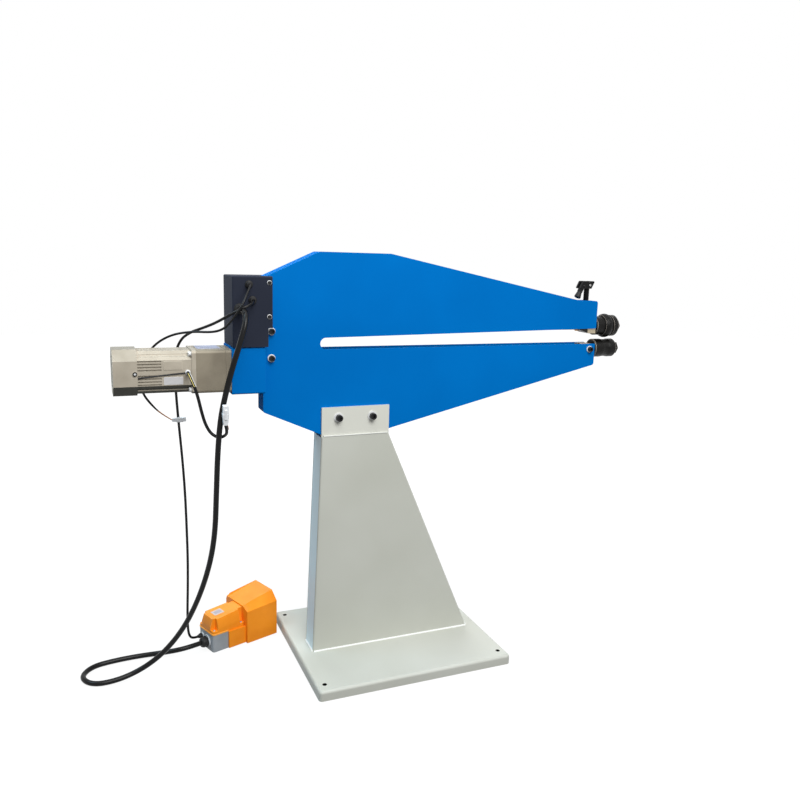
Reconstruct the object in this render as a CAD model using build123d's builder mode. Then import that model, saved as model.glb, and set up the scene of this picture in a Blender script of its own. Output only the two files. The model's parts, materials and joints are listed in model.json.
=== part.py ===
"""Electric bead roller on a floor stand, with its foot switch and cables, in millimetres.

+X runs along the two arms towards the dies, -Y is the near side, +Z is up.
The origin is on the floor, in the middle of the base.
"""
import os
from math import acos, cos, pi, radians, sin, tan

from build123d import *

# Fits that several pieces share
RUN_FIT = 0.05  # radial play of a turning fit
SEAT_FIT = 0.02  # radial play of a fixed round fit
SLIDE_FIT = 0.4  # play beside a block that swings or slides
HOLE_PLAY = 0.3  # radial play of a bolt or cable in its hole

# Base and stand
BASE_LENGTH = 570.0
BASE_WIDTH = 488.0
BASE_HEIGHT = 28.0
BASE_SHEET = 6.0
BASE_INNER_BEND = 2.5
BASE_CORNER = 10.0
ANCHOR_INSET_X = 23.5
ANCHOR_INSET_Y = 33.0
ANCHOR_HOLE = 12.0
ANCHOR_SLEEVE = 24.0
STAND_PLATE = 6.0
STAND_STEP = 3.0  # the lower plates stand out this far past the tabs
STAND_BEND = 5.0  # radius of the folded corners
STAND_FOOT_REAR_X = -243.0
STAND_FOOT_FRONT_X = 247.0
STAND_HEAD_RISE = 3.0  # head of the lower plates above the frame's underside
TAB_REAR_X = -223.0
TAB_FRONT_X = -27.0
TAB_HEIGHT = 81.0
WEB_RECESS = 0.4  # webs all but flush, as in a folded box
FRAME_BOTTOM_Z = 652.0

# Stand bolts
STAND_BOLT_X = (-175.5, -77.5)
STAND_BOLT_RISE = 55.5  # above the frame's underside
STAND_BOLT = 12.0
STAND_BOLT_HEAD = 18.0
STAND_BOLT_HEAD_HEIGHT = 12.0
STAND_BOLT_SOCKET = 10.0
STAND_WASHER = 26.0
STAND_WASHER_THICK = 2.5
STAND_NUT = 22.0  # across flats
STAND_NUT_HEIGHT = 12.0
SPACER_OUTER = 24.0

# Gears at the rear of the shafts
GEAR_MODULE = 3.0
GEAR_TEETH = 23
GEAR_SPREAD = 1.0  # the axes stand this much further apart than pitch contact
GEAR_BACKLASH = 0.3
GEAR_WIDTH = 22.0
GEAR_HUB = 44.0
GEAR_HUB_LENGTH = 5.0
GEAR_TO_FRAME = 13.0
PRESSURE_ANGLE = 20.0

# Arms and their outline
FRAME_PLATE = 6.0
FRAME_GAP = 48.0
FRAME_STRIP = 8.0
FRAME_CORNER = 7.0
FRAME_REAR_X = -381.0
ARM_END_X = 660.0
SLOT_LENGTH = 887.0
NOSE_LENGTH = 61.0
CROWN_REAR_X = -230.0
CROWN_FRONT_X = -30.0
KEEL_FRONT_X = -87.0
KEEL_REAR_X = -202.0
KEEL_REAR_RISE = 79.0
LOWER_AXIS_RISE = 226.0  # lower shaft above the frame's underside
NOSE_DROP = 49.0  # lower nose under the lower shaft
SLOT_LOWER_RISE = 16.0  # slot's lower edge above the lower shaft
SLOT_REAR_DROP = 23.0  # slot's upper edge under the upper shaft, at the rear
SLOT_FRONT_DROP = 6.0
NOSE_RISE = 78.0  # nose top above the upper shaft
REAR_RISE = 132.0
CROWN_RISE = 202.0

# Shafts and their bearings
SHAFT = 25.0
SHAFT_TAIL = 4.0  # upper shaft behind its gear
BUSH_WALL = 3.5
REAR_BLOCK_LENGTH = 26.0
REAR_BLOCK_GAP = 1.0
BLOCK_BELOW = 25.0  # lower face of a bearing block under its shaft
BLOCK_ABOVE = 15.0
FRONT_BLOCK_LENGTH = 36.0
FRONT_BLOCK_INSET = 2.0
BLOCK_BOLT = 10.0
BLOCK_BOLT_HEAD = 15.0
BLOCK_BOLT_HEAD_HEIGHT = 10.0
BLOCK_BOLT_SOCKET = 8.0
BLOCK_WASHER = 20.0
BLOCK_WASHER_THICK = 2.0
BLOCK_BOLT_DEPTH = 6.0  # past the frame plate's inner face
REAR_BOLT_DROP = 4.0  # rear bolts under the shaft they hold

# Upper front bearing and its pressure screw
HEAD_BLOCK_LENGTH = 57.0
HEAD_BLOCK_OVERHANG = 3.0
HEAD_BLOCK_BELOW = 22.0
HEAD_BLOCK_ABOVE = 26.0
HEAD_TAPER_LENGTH = 32.0
HEAD_TAPER_RISE = 11.0
SCREW_SETBACK = 24.0  # screw axis behind the arm's end
SCREW = 18.0
SCREW_NECK = 13.0
SCREW_NECK_LENGTH = 14.0
SCREW_RISE = 36.5  # threaded part showing above the nose
FOOT_DISC = 22.0
FOOT_THICK = 6.0
FOOT_PLAY = 1.5
FOOT_LIFT = 0.3  # play over and under the foot
FOOT_BORE_DEPTH = 4.0
CAP_THICK = 4.0
CAP_LENGTH = 44.0
NUT_LENGTH = 38.0
NUT_HEIGHT = 22.0

# Folding crank on the screw: a leaning block with a hinged grip
CRANK_ARM_THICK = 23.0
CRANK_ARM_WIDTH = 24.0
CRANK_ARM_FRONT = 9.5  # block's foot ahead of the screw axis
CRANK_ARM_REAR = 33.0
CRANK_LEAN = 26.0  # block's ends from the vertical, in degrees
CRANK_EDGE = 3.0
CRANK_NOTCH = 6.0  # notch across the block's top
CRANK_NOTCH_HALF = 6.5
CRANK_PIN = 7.0
CRANK_PIN_REAR = 17.0  # hinge pin behind the screw axis
CRANK_PIN_RISE = 7.5  # hinge pin above the block's foot
CRANK_FORK_GAP = 10.4
CRANK_FORK_PLAY = 1.0  # fork's floor past the tongue's round end
CRANK_TILT = 24.0  # hanging grip from the vertical, in degrees
CRANK_TONGUE = 13.0
CRANK_TONGUE_LENGTH = 20.0
CRANK_GRIP_NECK = 14.0
CRANK_GRIP = 22.0
CRANK_GRIP_LENGTH = 19.5

# Dies
DIE_SEAT_GAP = 7.0  # shaft shoulder ahead of the arm's end
DIE_BORE = 22.0
DIE_HUB_LENGTH = 31.0
DIE_HUB_R = 29.0
DIE_RIB_LENGTH = 26.0
DIE_RIB_R = 37.0
DIE_NECK_LENGTH = 4.0
DIE_NECK_R = 30.0
DIE_COLLAR_LENGTH = 17.0
DIE_COLLAR_R = 33.0
DIE_EDGE = 2.0
DIE_GAP = 4.5  # rib to the lower die's lands
DIE_GROOVE_DEPTH = 1.6
DIE_GROOVE_PLAY = 1.5
DIE_THREAD = 18.0
DIE_WASHER = 46.0
DIE_WASHER_THICK = 3.0
DIE_NUT = 34.0  # across flats
DIE_NUT_HEIGHT = 11.0
DIE_THREAD_TAIL = 2.0

# Motor mount, gearbox and motor
MOUNT_LENGTH = 85.0
MOUNT_WIDTH = 116.0
MOUNT_WALL = 6.0
MOUNT_PLATE = 8.0
MOUNT_RISE = 29.0  # mount's top above the lower shaft
MOUNT_MARGIN = 6.0  # mount's underside below the gearbox
MOUNT_CORNER = 5.0
OUTPUT_OFFSET = 31.0  # output shaft above the motor's axis
MOTOR_SIZE = 109.0
GEARBOX_LENGTH = 88.0
GEARBOX_CORNER = 9.0
GEARBOX_SEAM = 1.5
GEARBOX_SEAM_FROM_FACE = 14.0
PILOT = 44.0
PILOT_LENGTH = 6.0
OUTPUT_SHAFT = 18.0
OUTPUT_DEPTH = 34.0
COUPLING = 40.0
COUPLING_LENGTH = 36.0
COUPLING_GAP = 3.0
SHAFT_END_GAP = 2.0
FLANGE_THICK = 10.0
BODY_SIZE = 105.0
BODY_LENGTH = 128.0
BODY_CHAMFER = 21.0
FIN_LENGTH = 56.0
FIN_GROOVE = 3.4
FIN_DEPTH = 4.0
FIN_PITCH = 7.3
FIN_COUNT = 4  # grooves in each half of a side
FIN_FIRST = 7.0  # first groove from the middle of the side
SPIGOT_LENGTH = 12.0
FAN_COVER_SIZE = 114.0
FAN_COVER_CHAMFER = 26.0
FAN_COVER_LENGTH = 56.0
FAN_COVER_SHEET = 2.0
FAN_GAP = 4.0  # from the cover's rear wall to the blades
FAN_R = 44.0
FAN_BLADES = 7
FAN_BLADE_THICK = 2.5
FAN_WIDTH = 18.0
FAN_HUB_R = 11.0
ROTOR_SHAFT = 12.0
ROTOR_DEPTH = 20.0
TIE_BOLT = 7.0
TIE_BOLT_HEAD = 12.0
TIE_BOLT_HEAD_HEIGHT = 7.0
TIE_BOLT_OFFSET = 45.0
SMALL_SCREW = 5.0
SMALL_SCREW_HEAD = 10.0
SMALL_SCREW_HEAD_HEIGHT = 3.0

# Control cover
COVER_WIDTH = 125.0
COVER_SHEET = 2.0
COVER_BEND = 4.0
COVER_SETBACK = 2.0  # rear wall ahead of the mount's rear face
COVER_LAP = 18.0  # side walls past the frame's rear edge
COVER_TOP_RISE = 137.0  # above the upper shaft
COVER_SEAT = 0.5
COVER_NOTCH_LENGTH = 11.0
COVER_NOTCH_HEIGHT = 48.0
CHASSIS_SHEET = 3.0
CHASSIS_GEAR_GAP = 4.5
CHASSIS_EAR_BELOW = 12.0  # ear under the lower cover screw
CHASSIS_TOP_GAP = 5.0
CHASSIS_REAR_GAP = 4.0
COVER_SCREW_INSET = 8.0
COVER_SCREW_TOP = 16.0
COVER_SCREW_SPACING = 85.0
CONTROLLER_LENGTH = 62.0
CONTROLLER_DEPTH = 42.0
CONTROLLER_HEIGHT = 78.0
CONTROLLER_FROM_REAR = 10.0
KNOB_X_FROM_REAR = 41.0
KNOB_FROM_TOP = 28.0
KNOB = 24.0
KNOB_HEIGHT = 16.0
SELECTOR_FROM_TOP = 64.0
SELECTOR = 22.0
SELECTOR_HEIGHT = 9.0
SELECTOR_RIDGE = 8.0
SPINDLE = 6.0
SPINDLE_DEPTH = 12.0
KNOB_GAP = 1.0

# Cable glands on the near wall: place from the cover's rear wall and top, and the cable in each
GLAND_LENGTH = 14.0
GLAND_WALL = 4.0
GLAND_SLOPE = 1.5
PEDAL_CABLE = 14.0
PEDAL_GLAND_FROM_REAR = 17.0
PEDAL_GLAND_FROM_TOP = 81.0
SIGNAL_CABLE = 7.0
SIGNAL_GLAND_FROM_REAR = 50.0
SIGNAL_GLAND_FROM_TOP = 59.0
TACHO_CABLE = 6.0
TACHO_GLAND_FROM_REAR = 41.0
TACHO_GLAND_FROM_TOP = 20.0
MOTOR_LEAD = 8.0
MOTOR_LEAD_FROM_FLANGE = 10.0
MOTOR_GROMMET_LENGTH = 4.0
FAN_LEAD = 3.6
CABLE_REST = 0.5  # lying cable above the floor

# Foot switch: its near rear corner on the floor and its turn about Z
PEDAL_X = -500.0
PEDAL_Y = 100.0
PEDAL_TURN = 20.0
PEDAL_LENGTH = 207.0
SWITCH_LENGTH = 104.0
SWITCH_WIDTH = 82.0
SWITCH_HEIGHT = 52.0
SWITCH_CORNER = 7.0
LID_HEIGHT = 55.0  # at the hood
LID_FALL = 11.0  # lid lower at the cable end
LID_TRIM = 1.0
LID_POCKET = 16.0  # screw pockets in the corners
LID_POCKET_FLOOR = 12.0
LID_INSET = 11.0
LID_SHOULDER = 24.0
PEDAL_FLOOR = 8.0
FLOOR_NECK_INSET = 10.0  # floor plate's neck inside the switch's sides
HOOD_FOOT = 1.0  # hood's edge above the floor
HOOD_MARGIN = 15.0  # hood past the switch on the near side
HOOD_FAR_MARGIN = 25.0
HOOD_WALL = 3.0
HOOD_SHOULDER = 26.0
HOOD_FAR_SHOULDER = 5.0
HOOD_SIDE_REAR = 100.0
HOOD_SIDE_FRONT = 107.0
HOOD_ROOF_REAR = 116.0
HOOD_ROOF_FRONT = 133.0
SKIRT_LENGTH = 55.0
SKIRT_THICK = 5.0
SKIRT_HEIGHT = 53.0
TREADLE_PIN = 8.0
TREADLE_PIN_FROM_SWITCH = 18.0
TREADLE_PIN_Z = 40.0
TREADLE_BARREL = 16.0
TREADLE_EAR = 6.0
TREADLE_EAR_LENGTH = 18.0
TREADLE_EAR_PLAY = 1.0
TREADLE_THICK = 6.0
TREADLE_END_GAP = 9.0
TREADLE_RIB = 3.0
TREADLE_RIB_COUNT = 5
PEDAL_GLAND_V = 34.0
PEDAL_GLAND_Z = 25.0
PEDAL_GLAND_LENGTH = 22.0
SIGNAL_ENTRY_V = 62.0
SIGNAL_ENTRY_Z = 32.0
SIGNAL_ENTRY_LENGTH = 16.0

# Plug housings on the leads
PLUG_WIDTH = 12.0
PLUG_LENGTH = 44.0
PLUG_SMALL_WIDTH = 10.0
PLUG_SMALL_LENGTH = 24.0

# Heights and faces worked out from the sizes above
AXIS_SPACING = GEAR_MODULE * GEAR_TEETH + GEAR_SPREAD
LOWER_AXIS_Z = FRAME_BOTTOM_Z + LOWER_AXIS_RISE
UPPER_AXIS_Z = LOWER_AXIS_Z + AXIS_SPACING
NOSE_TOP_Z = UPPER_AXIS_Z + NOSE_RISE
NOSE_BOTTOM_Z = LOWER_AXIS_Z - NOSE_DROP
FRAME_TOP_Z = UPPER_AXIS_Z + CROWN_RISE
REAR_TOP_Z = UPPER_AXIS_Z + REAR_RISE
REAR_BOTTOM_Z = FRAME_BOTTOM_Z + KEEL_REAR_RISE
FRAME_HALF = FRAME_GAP / 2 + FRAME_PLATE
TAB_HALF = FRAME_HALF + STAND_PLATE
STAND_HALF = TAB_HALF + STAND_STEP
STAND_INSIDE = STAND_HALF - STAND_PLATE
STAND_HEAD_Z = FRAME_BOTTOM_Z + STAND_HEAD_RISE
STAND_BOLT_Z = FRAME_BOTTOM_Z + STAND_BOLT_RISE
SLOT_END_X = ARM_END_X - SLOT_LENGTH
SLOT_LOWER_Z = LOWER_AXIS_Z + SLOT_LOWER_RISE
SLOT_REAR_Z = UPPER_AXIS_Z - SLOT_REAR_DROP
SLOT_FRONT_Z = UPPER_AXIS_Z - SLOT_FRONT_DROP
SHAFT_R = SHAFT / 2
BUSH_R = SHAFT_R + BUSH_WALL
REAR_BLOCK_X = FRAME_REAR_X + FRAME_STRIP + REAR_BLOCK_GAP
REAR_BOLT_X = REAR_BLOCK_X + REAR_BLOCK_LENGTH / 2
FRONT_BLOCK_X = ARM_END_X - FRONT_BLOCK_INSET - FRONT_BLOCK_LENGTH
FRONT_BOLT_X = FRONT_BLOCK_X + FRONT_BLOCK_LENGTH / 2
SCREW_X = ARM_END_X - SCREW_SETBACK
HEAD_BLOCK_X = ARM_END_X + HEAD_BLOCK_OVERHANG - HEAD_BLOCK_LENGTH
HEAD_BLOCK_TOP = UPPER_AXIS_Z + HEAD_BLOCK_ABOVE
DIE_SEAT_X = ARM_END_X + DIE_SEAT_GAP
DIE_LENGTH = DIE_HUB_LENGTH + DIE_RIB_LENGTH + DIE_NECK_LENGTH + DIE_COLLAR_LENGTH
DIE_END_X = DIE_SEAT_X + DIE_LENGTH
SHAFT_FRONT_X = DIE_END_X + DIE_WASHER_THICK + DIE_NUT_HEIGHT + DIE_THREAD_TAIL
GEAR_FRONT_X = FRAME_REAR_X - GEAR_TO_FRAME
GEAR_REAR_X = GEAR_FRONT_X - GEAR_WIDTH
MOTOR_Z = LOWER_AXIS_Z - OUTPUT_OFFSET
MOUNT_REAR_X = FRAME_REAR_X - MOUNT_LENGTH
MOUNT_TOP_Z = LOWER_AXIS_Z + MOUNT_RISE
MOUNT_BOTTOM_Z = MOTOR_Z - MOTOR_SIZE / 2 - MOUNT_MARGIN
GEARBOX_REAR_X = MOUNT_REAR_X - GEARBOX_LENGTH
FLANGE_REAR_X = GEARBOX_REAR_X - FLANGE_THICK
BODY_REAR_X = FLANGE_REAR_X - BODY_LENGTH
FAN_COVER_REAR_X = BODY_REAR_X - FAN_COVER_LENGTH
COUPLING_REAR_X = MOUNT_REAR_X + MOUNT_PLATE + COUPLING_GAP
COUPLING_FRONT_X = COUPLING_REAR_X + COUPLING_LENGTH
COUPLING_MIDDLE_X = COUPLING_REAR_X + COUPLING_LENGTH / 2
COVER_REAR_X = MOUNT_REAR_X + COVER_SETBACK
COVER_FRONT_X = FRAME_REAR_X + COVER_LAP
COVER_BOTTOM_Z = MOUNT_TOP_Z + COVER_SEAT
COVER_TOP_Z = UPPER_AXIS_Z + COVER_TOP_RISE
COVER_HALF = COVER_WIDTH / 2
COVER_INSIDE = COVER_HALF - COVER_SHEET
GEAR_TIP_R = GEAR_MODULE * (GEAR_TEETH + 2) / 2
SHELF_Z = UPPER_AXIS_Z + GEAR_TIP_R + CHASSIS_GEAR_GAP
CHASSIS_TOP_Z = COVER_TOP_Z - COVER_SHEET - CHASSIS_TOP_GAP
COVER_SCREW_X = COVER_FRONT_X - COVER_SCREW_INSET
COVER_SCREW_Z = COVER_TOP_Z - COVER_SCREW_TOP
KNOB_X = COVER_REAR_X + KNOB_X_FROM_REAR
MOTOR_LEAD_X = FLANGE_REAR_X - MOTOR_LEAD_FROM_FLANGE
HOOD_NEAR_V = -HOOD_MARGIN
HOOD_FAR_V = SWITCH_WIDTH + HOOD_FAR_MARGIN


def on_side(y):
    """Plane square to Y whose sketch axes are the model's X and Z, facing the near side."""
    return Plane(origin=(0, y, 0), x_dir=(1, 0, 0), z_dir=(0, -1, 0))


def across(x):
    """Plane square to X whose sketch axes are the model's Y and Z, facing the dies."""
    return Plane(origin=(x, 0, 0), x_dir=(0, 1, 0), z_dir=(1, 0, 0))


def pedal_plane(z):
    """Level plane of the foot switch: along its length, then across it."""
    turn = radians(PEDAL_TURN)
    return Plane(origin=(PEDAL_X, PEDAL_Y, z), x_dir=(cos(turn), sin(turn), 0), z_dir=(0, 0, 1))


def pedal_across(u):
    """Plane across the foot switch at u along it: across it, then up."""
    base = pedal_plane(0)
    return Plane(origin=base.from_local_coords((u, 0, 0)), x_dir=base.y_dir, z_dir=base.x_dir)


def pedal_side(v):
    """Plane along the foot switch at v across it: along it, then up."""
    base = pedal_plane(0)
    return Plane(origin=base.from_local_coords((0, v, 0)), x_dir=base.x_dir, z_dir=-base.y_dir)


def shaft_axis(z):
    """Axis along X at a height."""
    return Axis((0, 0, z), (1, 0, 0))


# Base: a folded sheet pan with a sleeve under each anchor hole
ANCHOR_SPACING_X = BASE_LENGTH - 2 * ANCHOR_INSET_X
ANCHOR_SPACING_Y = BASE_WIDTH - 2 * ANCHOR_INSET_Y
with BuildPart() as base_plate:
    with BuildSketch(Plane.XY):
        RectangleRounded(BASE_LENGTH, BASE_WIDTH, BASE_CORNER)
    extrude(amount=BASE_HEIGHT)
    fillet(base_plate.faces().sort_by(Axis.Z)[-1].edges(), BASE_SHEET + BASE_INNER_BEND)
    offset(amount=-BASE_SHEET, openings=base_plate.faces().sort_by(Axis.Z)[0])
    with BuildSketch(Plane.XY):
        with GridLocations(ANCHOR_SPACING_X, ANCHOR_SPACING_Y, 2, 2):
            Circle(ANCHOR_SLEEVE / 2)
    extrude(amount=BASE_HEIGHT - BASE_SHEET / 2)
    with BuildSketch(Plane.XY):
        with GridLocations(ANCHOR_SPACING_X, ANCHOR_SPACING_Y, 2, 2):
            Circle(ANCHOR_HOLE / 2)
    extrude(amount=BASE_HEIGHT, mode=Mode.SUBTRACT)
base_plate.part.label = "base_plate"


NEAR, FAR = -1, 1


def stand_side(side):
    """One side of the stand: a tapered lower plate with folded corners, its tab and the weld under it."""
    with BuildPart() as plate:
        with BuildSketch(on_side(side * STAND_INSIDE)):
            with BuildLine():
                Polyline(
                    (STAND_FOOT_REAR_X, BASE_HEIGHT),
                    (STAND_FOOT_FRONT_X, BASE_HEIGHT),
                    (TAB_FRONT_X, STAND_HEAD_Z),
                    (TAB_REAR_X, STAND_HEAD_Z),
                    close=True,
                )
            make_face()
        extrude(amount=-side * STAND_PLATE)
        outer_edges = plate.faces().sort_by(Axis.Y)[-1 if side == FAR else 0].edges()
        fillet(outer_edges.filter_by(Axis.X, reverse=True), STAND_BEND)
        tab_middle_x = (TAB_REAR_X + TAB_FRONT_X) / 2
        tab_top_z = STAND_HEAD_Z + TAB_HEIGHT
        with BuildSketch(on_side(side * FRAME_HALF)):
            with Locations((tab_middle_x, (STAND_HEAD_Z + tab_top_z) / 2)):
                Rectangle(TAB_FRONT_X - TAB_REAR_X, TAB_HEIGHT)
            with Locations(*[(x, STAND_BOLT_Z) for x in STAND_BOLT_X]):
                Circle(STAND_BOLT / 2 + HOLE_PLAY, mode=Mode.SUBTRACT)
        extrude(amount=-side * STAND_PLATE)
        with BuildSketch(across(TAB_REAR_X + STAND_BEND)):
            with BuildLine():
                Polyline(
                    (side * TAB_HALF, STAND_HEAD_Z),
                    (side * STAND_HALF, STAND_HEAD_Z),
                    (side * TAB_HALF, STAND_HEAD_Z + 2 * STAND_STEP),
                    close=True,
                )
            make_face()
        extrude(amount=TAB_FRONT_X - TAB_REAR_X - 2 * STAND_BEND)
    return plate


stand_near_side = stand_side(NEAR)
stand_near_side.part.label = "stand_near_side"
stand_far_side = stand_side(FAR)
stand_far_side.part.label = "stand_far_side"

# Rear and front webs between the folded corners of the side plates
with BuildPart() as stand_webs:
    for foot_x, head_x, inward in (
        (STAND_FOOT_REAR_X, TAB_REAR_X, 1),
        (STAND_FOOT_FRONT_X, TAB_FRONT_X, -1),
    ):
        outer = inward * WEB_RECESS
        inner = inward * (WEB_RECESS + STAND_PLATE)
        with BuildSketch(on_side(STAND_INSIDE)):
            with BuildLine():
                Polyline(
                    (foot_x + outer, BASE_HEIGHT),
                    (foot_x + inner, BASE_HEIGHT),
                    (head_x + inner, FRAME_BOTTOM_Z),
                    (head_x + outer, FRAME_BOTTOM_Z),
                    close=True,
                )
            make_face()
        extrude(amount=2 * STAND_INSIDE)
stand_webs.part.label = "stand_webs"

# Two clamp bolts through both tabs and both frame plates
with BuildPart() as stand_bolts:
    near_face = -TAB_HALF - STAND_WASHER_THICK
    far_face = TAB_HALF + STAND_WASHER_THICK
    bolt_places = [(x, STAND_BOLT_Z) for x in STAND_BOLT_X]
    with BuildSketch(on_side(near_face)):
        with Locations(*bolt_places):
            Circle(STAND_BOLT_HEAD / 2)
            RegularPolygon(STAND_BOLT_SOCKET / 2, 6, major_radius=False, mode=Mode.SUBTRACT)
    extrude(amount=STAND_BOLT_HEAD_HEIGHT)
    with BuildSketch(on_side(near_face)):
        with Locations(*bolt_places):
            Circle(STAND_BOLT_HEAD / 2)
    extrude(amount=STAND_BOLT_HEAD_HEIGHT / 2)
    with BuildSketch(on_side(near_face)):
        with Locations(*bolt_places):
            Circle(STAND_BOLT / 2)
    extrude(amount=near_face - far_face - STAND_NUT_HEIGHT - STAND_STEP)
    for face_y, outward in ((-TAB_HALF, 1), (TAB_HALF, -1)):
        with BuildSketch(on_side(face_y)):
            with Locations(*bolt_places):
                Circle(STAND_WASHER / 2)
                Circle(STAND_BOLT / 2 + SEAT_FIT, mode=Mode.SUBTRACT)
        extrude(amount=outward * STAND_WASHER_THICK)
    with BuildSketch(on_side(far_face)):
        with Locations(*bolt_places):
            RegularPolygon(STAND_NUT / 2, 6, major_radius=False)
            Circle(STAND_BOLT / 2 + SEAT_FIT, mode=Mode.SUBTRACT)
    extrude(amount=-STAND_NUT_HEIGHT)
stand_bolts.part.label = "stand_bolts"

# Spacer tubes that keep the frame plates apart at the clamp bolts
with BuildPart() as bolt_spacers:
    with BuildSketch(on_side(FRAME_GAP / 2)):
        with Locations(*bolt_places):
            Circle(SPACER_OUTER / 2)
            Circle(STAND_BOLT / 2 + HOLE_PLAY, mode=Mode.SUBTRACT)
    extrude(amount=FRAME_GAP)
bolt_spacers.part.label = "bolt_spacers"


def outline_edges():
    """Frame's outer outline, corners rounded, as X and Z of a side view."""
    with BuildLine() as outline:
        FilletPolyline(
            (FRAME_REAR_X, REAR_TOP_Z),
            (CROWN_REAR_X, FRAME_TOP_Z),
            (CROWN_FRONT_X, FRAME_TOP_Z),
            (ARM_END_X - NOSE_LENGTH, NOSE_TOP_Z),
            (ARM_END_X, NOSE_TOP_Z),
            (ARM_END_X, NOSE_BOTTOM_Z),
            (KEEL_FRONT_X, FRAME_BOTTOM_Z),
            (KEEL_REAR_X, FRAME_BOTTOM_Z),
            (FRAME_REAR_X, REAR_BOTTOM_Z),
            radius=FRAME_CORNER,
            close=True,
        )
    return outline.edges()


def slot_edges():
    """Throat slot, round at its rear end and open past the arms' ends, as X and Z."""
    slot_r = (SLOT_REAR_Z - SLOT_LOWER_Z) / 2
    past_end = ARM_END_X + FRAME_CORNER
    with BuildLine() as slot:
        Polyline(
            (SLOT_END_X + slot_r, SLOT_LOWER_Z),
            (past_end, SLOT_LOWER_Z),
            (past_end, SLOT_FRONT_Z),
            (SLOT_END_X + slot_r, SLOT_REAR_Z),
        )
        ThreePointArc(
            (SLOT_END_X + slot_r, SLOT_REAR_Z),
            (SLOT_END_X, SLOT_LOWER_Z + slot_r),
            (SLOT_END_X + slot_r, SLOT_LOWER_Z),
        )
    return slot.edges()


REAR_BOLT_PLACES = [
    (REAR_BOLT_X, LOWER_AXIS_Z - REAR_BOLT_DROP),
    (REAR_BOLT_X, UPPER_AXIS_Z - REAR_BOLT_DROP),
]
BLOCK_BOLT_PLACES = [REAR_BOLT_PLACES[0], (FRONT_BOLT_X, LOWER_AXIS_Z)]


def frame_plate(side):
    """One side plate of the two arms."""
    with BuildPart() as plate:
        with BuildSketch(on_side(side * FRAME_GAP / 2)):
            make_face(outline_edges())
            make_face(slot_edges(), mode=Mode.SUBTRACT)
            with Locations(*bolt_places):
                Circle(STAND_BOLT / 2 + HOLE_PLAY, mode=Mode.SUBTRACT)
            with Locations(*REAR_BOLT_PLACES, BLOCK_BOLT_PLACES[1]):
                Circle(BLOCK_BOLT / 2 + SEAT_FIT, mode=Mode.SUBTRACT)
        extrude(amount=-side * FRAME_PLATE)
    return plate


frame_near_plate = frame_plate(NEAR)
frame_near_plate.part.label = "frame_near_plate"
frame_far_plate = frame_plate(FAR)
frame_far_plate.part.label = "frame_far_plate"

# Edge strips between the plates: the rim of the outline, parted at the rear edge
REAR_STRIP_TOP_Z = REAR_TOP_Z - FRAME_STRIP
REAR_STRIP_BOTTOM_Z = REAR_BOTTOM_Z + FRAME_STRIP
FRAME_LENGTH = ARM_END_X - FRAME_REAR_X
FRAME_MIDDLE_X = (ARM_END_X + FRAME_REAR_X) / 2


def edge_strip(low_z, high_z, rear_low_z, rear_high_z):
    """Rim of the outline between two heights, with the rear edge left out between two more."""
    with BuildPart() as strip:
        with BuildSketch(on_side(FRAME_GAP / 2)) as rim:
            make_face(outline_edges())
            offset(rim.sketch_local, amount=-FRAME_STRIP, mode=Mode.SUBTRACT)
            with Locations((FRAME_MIDDLE_X, (low_z + high_z) / 2)):
                Rectangle(FRAME_LENGTH, high_z - low_z, mode=Mode.INTERSECT)
            with Locations((FRAME_REAR_X, (rear_low_z + rear_high_z) / 2)):
                Rectangle(2 * FRAME_STRIP, rear_high_z - rear_low_z, mode=Mode.SUBTRACT)
        extrude(amount=FRAME_GAP)
        with BuildSketch(Plane.XY.offset(NOSE_TOP_Z)):
            with Locations((SCREW_X, 0)):
                Circle(SCREW / 2 + HOLE_PLAY)
        extrude(amount=-FRAME_STRIP, mode=Mode.SUBTRACT)
    return strip


frame_top_strip = edge_strip(NOSE_TOP_Z - FRAME_STRIP, FRAME_TOP_Z, NOSE_BOTTOM_Z, REAR_STRIP_TOP_Z)
frame_top_strip.part.label = "frame_top_strip"

frame_bottom_strip = edge_strip(FRAME_BOTTOM_Z, NOSE_BOTTOM_Z, REAR_STRIP_BOTTOM_Z, NOSE_TOP_Z)
frame_bottom_strip.part.label = "frame_bottom_strip"

with BuildPart() as frame_rear_strip:
    with BuildSketch(across(FRAME_REAR_X)):
        with Locations((0, (REAR_STRIP_TOP_Z + REAR_STRIP_BOTTOM_Z) / 2)):
            Rectangle(FRAME_GAP, REAR_STRIP_TOP_Z - REAR_STRIP_BOTTOM_Z)
        with Locations((0, LOWER_AXIS_Z), (0, UPPER_AXIS_Z)):
            Circle(SHAFT_R + BUSH_WALL, mode=Mode.SUBTRACT)
    extrude(amount=FRAME_STRIP)
frame_rear_strip.part.label = "frame_rear_strip"


def bearing_block(rear_x, length, axis_z, half_width, bolt_place, bolt_r):
    """Block across the frame with a bore along X for a bush and a blind bolt hole in each side."""
    with BuildPart() as block:
        with BuildSketch(across(rear_x)):
            with Locations((0, axis_z + (BLOCK_ABOVE - BLOCK_BELOW) / 2)):
                Rectangle(2 * half_width, BLOCK_ABOVE + BLOCK_BELOW)
            with Locations((0, axis_z)):
                Circle(BUSH_R + SEAT_FIT, mode=Mode.SUBTRACT)
        extrude(amount=length)
        for side in (NEAR, FAR):
            with BuildSketch(on_side(side * FRAME_GAP / 2)):
                with Locations(bolt_place):
                    Circle(bolt_r)
            extrude(amount=side * BLOCK_BOLT_DEPTH, mode=Mode.SUBTRACT)
    return block


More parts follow.
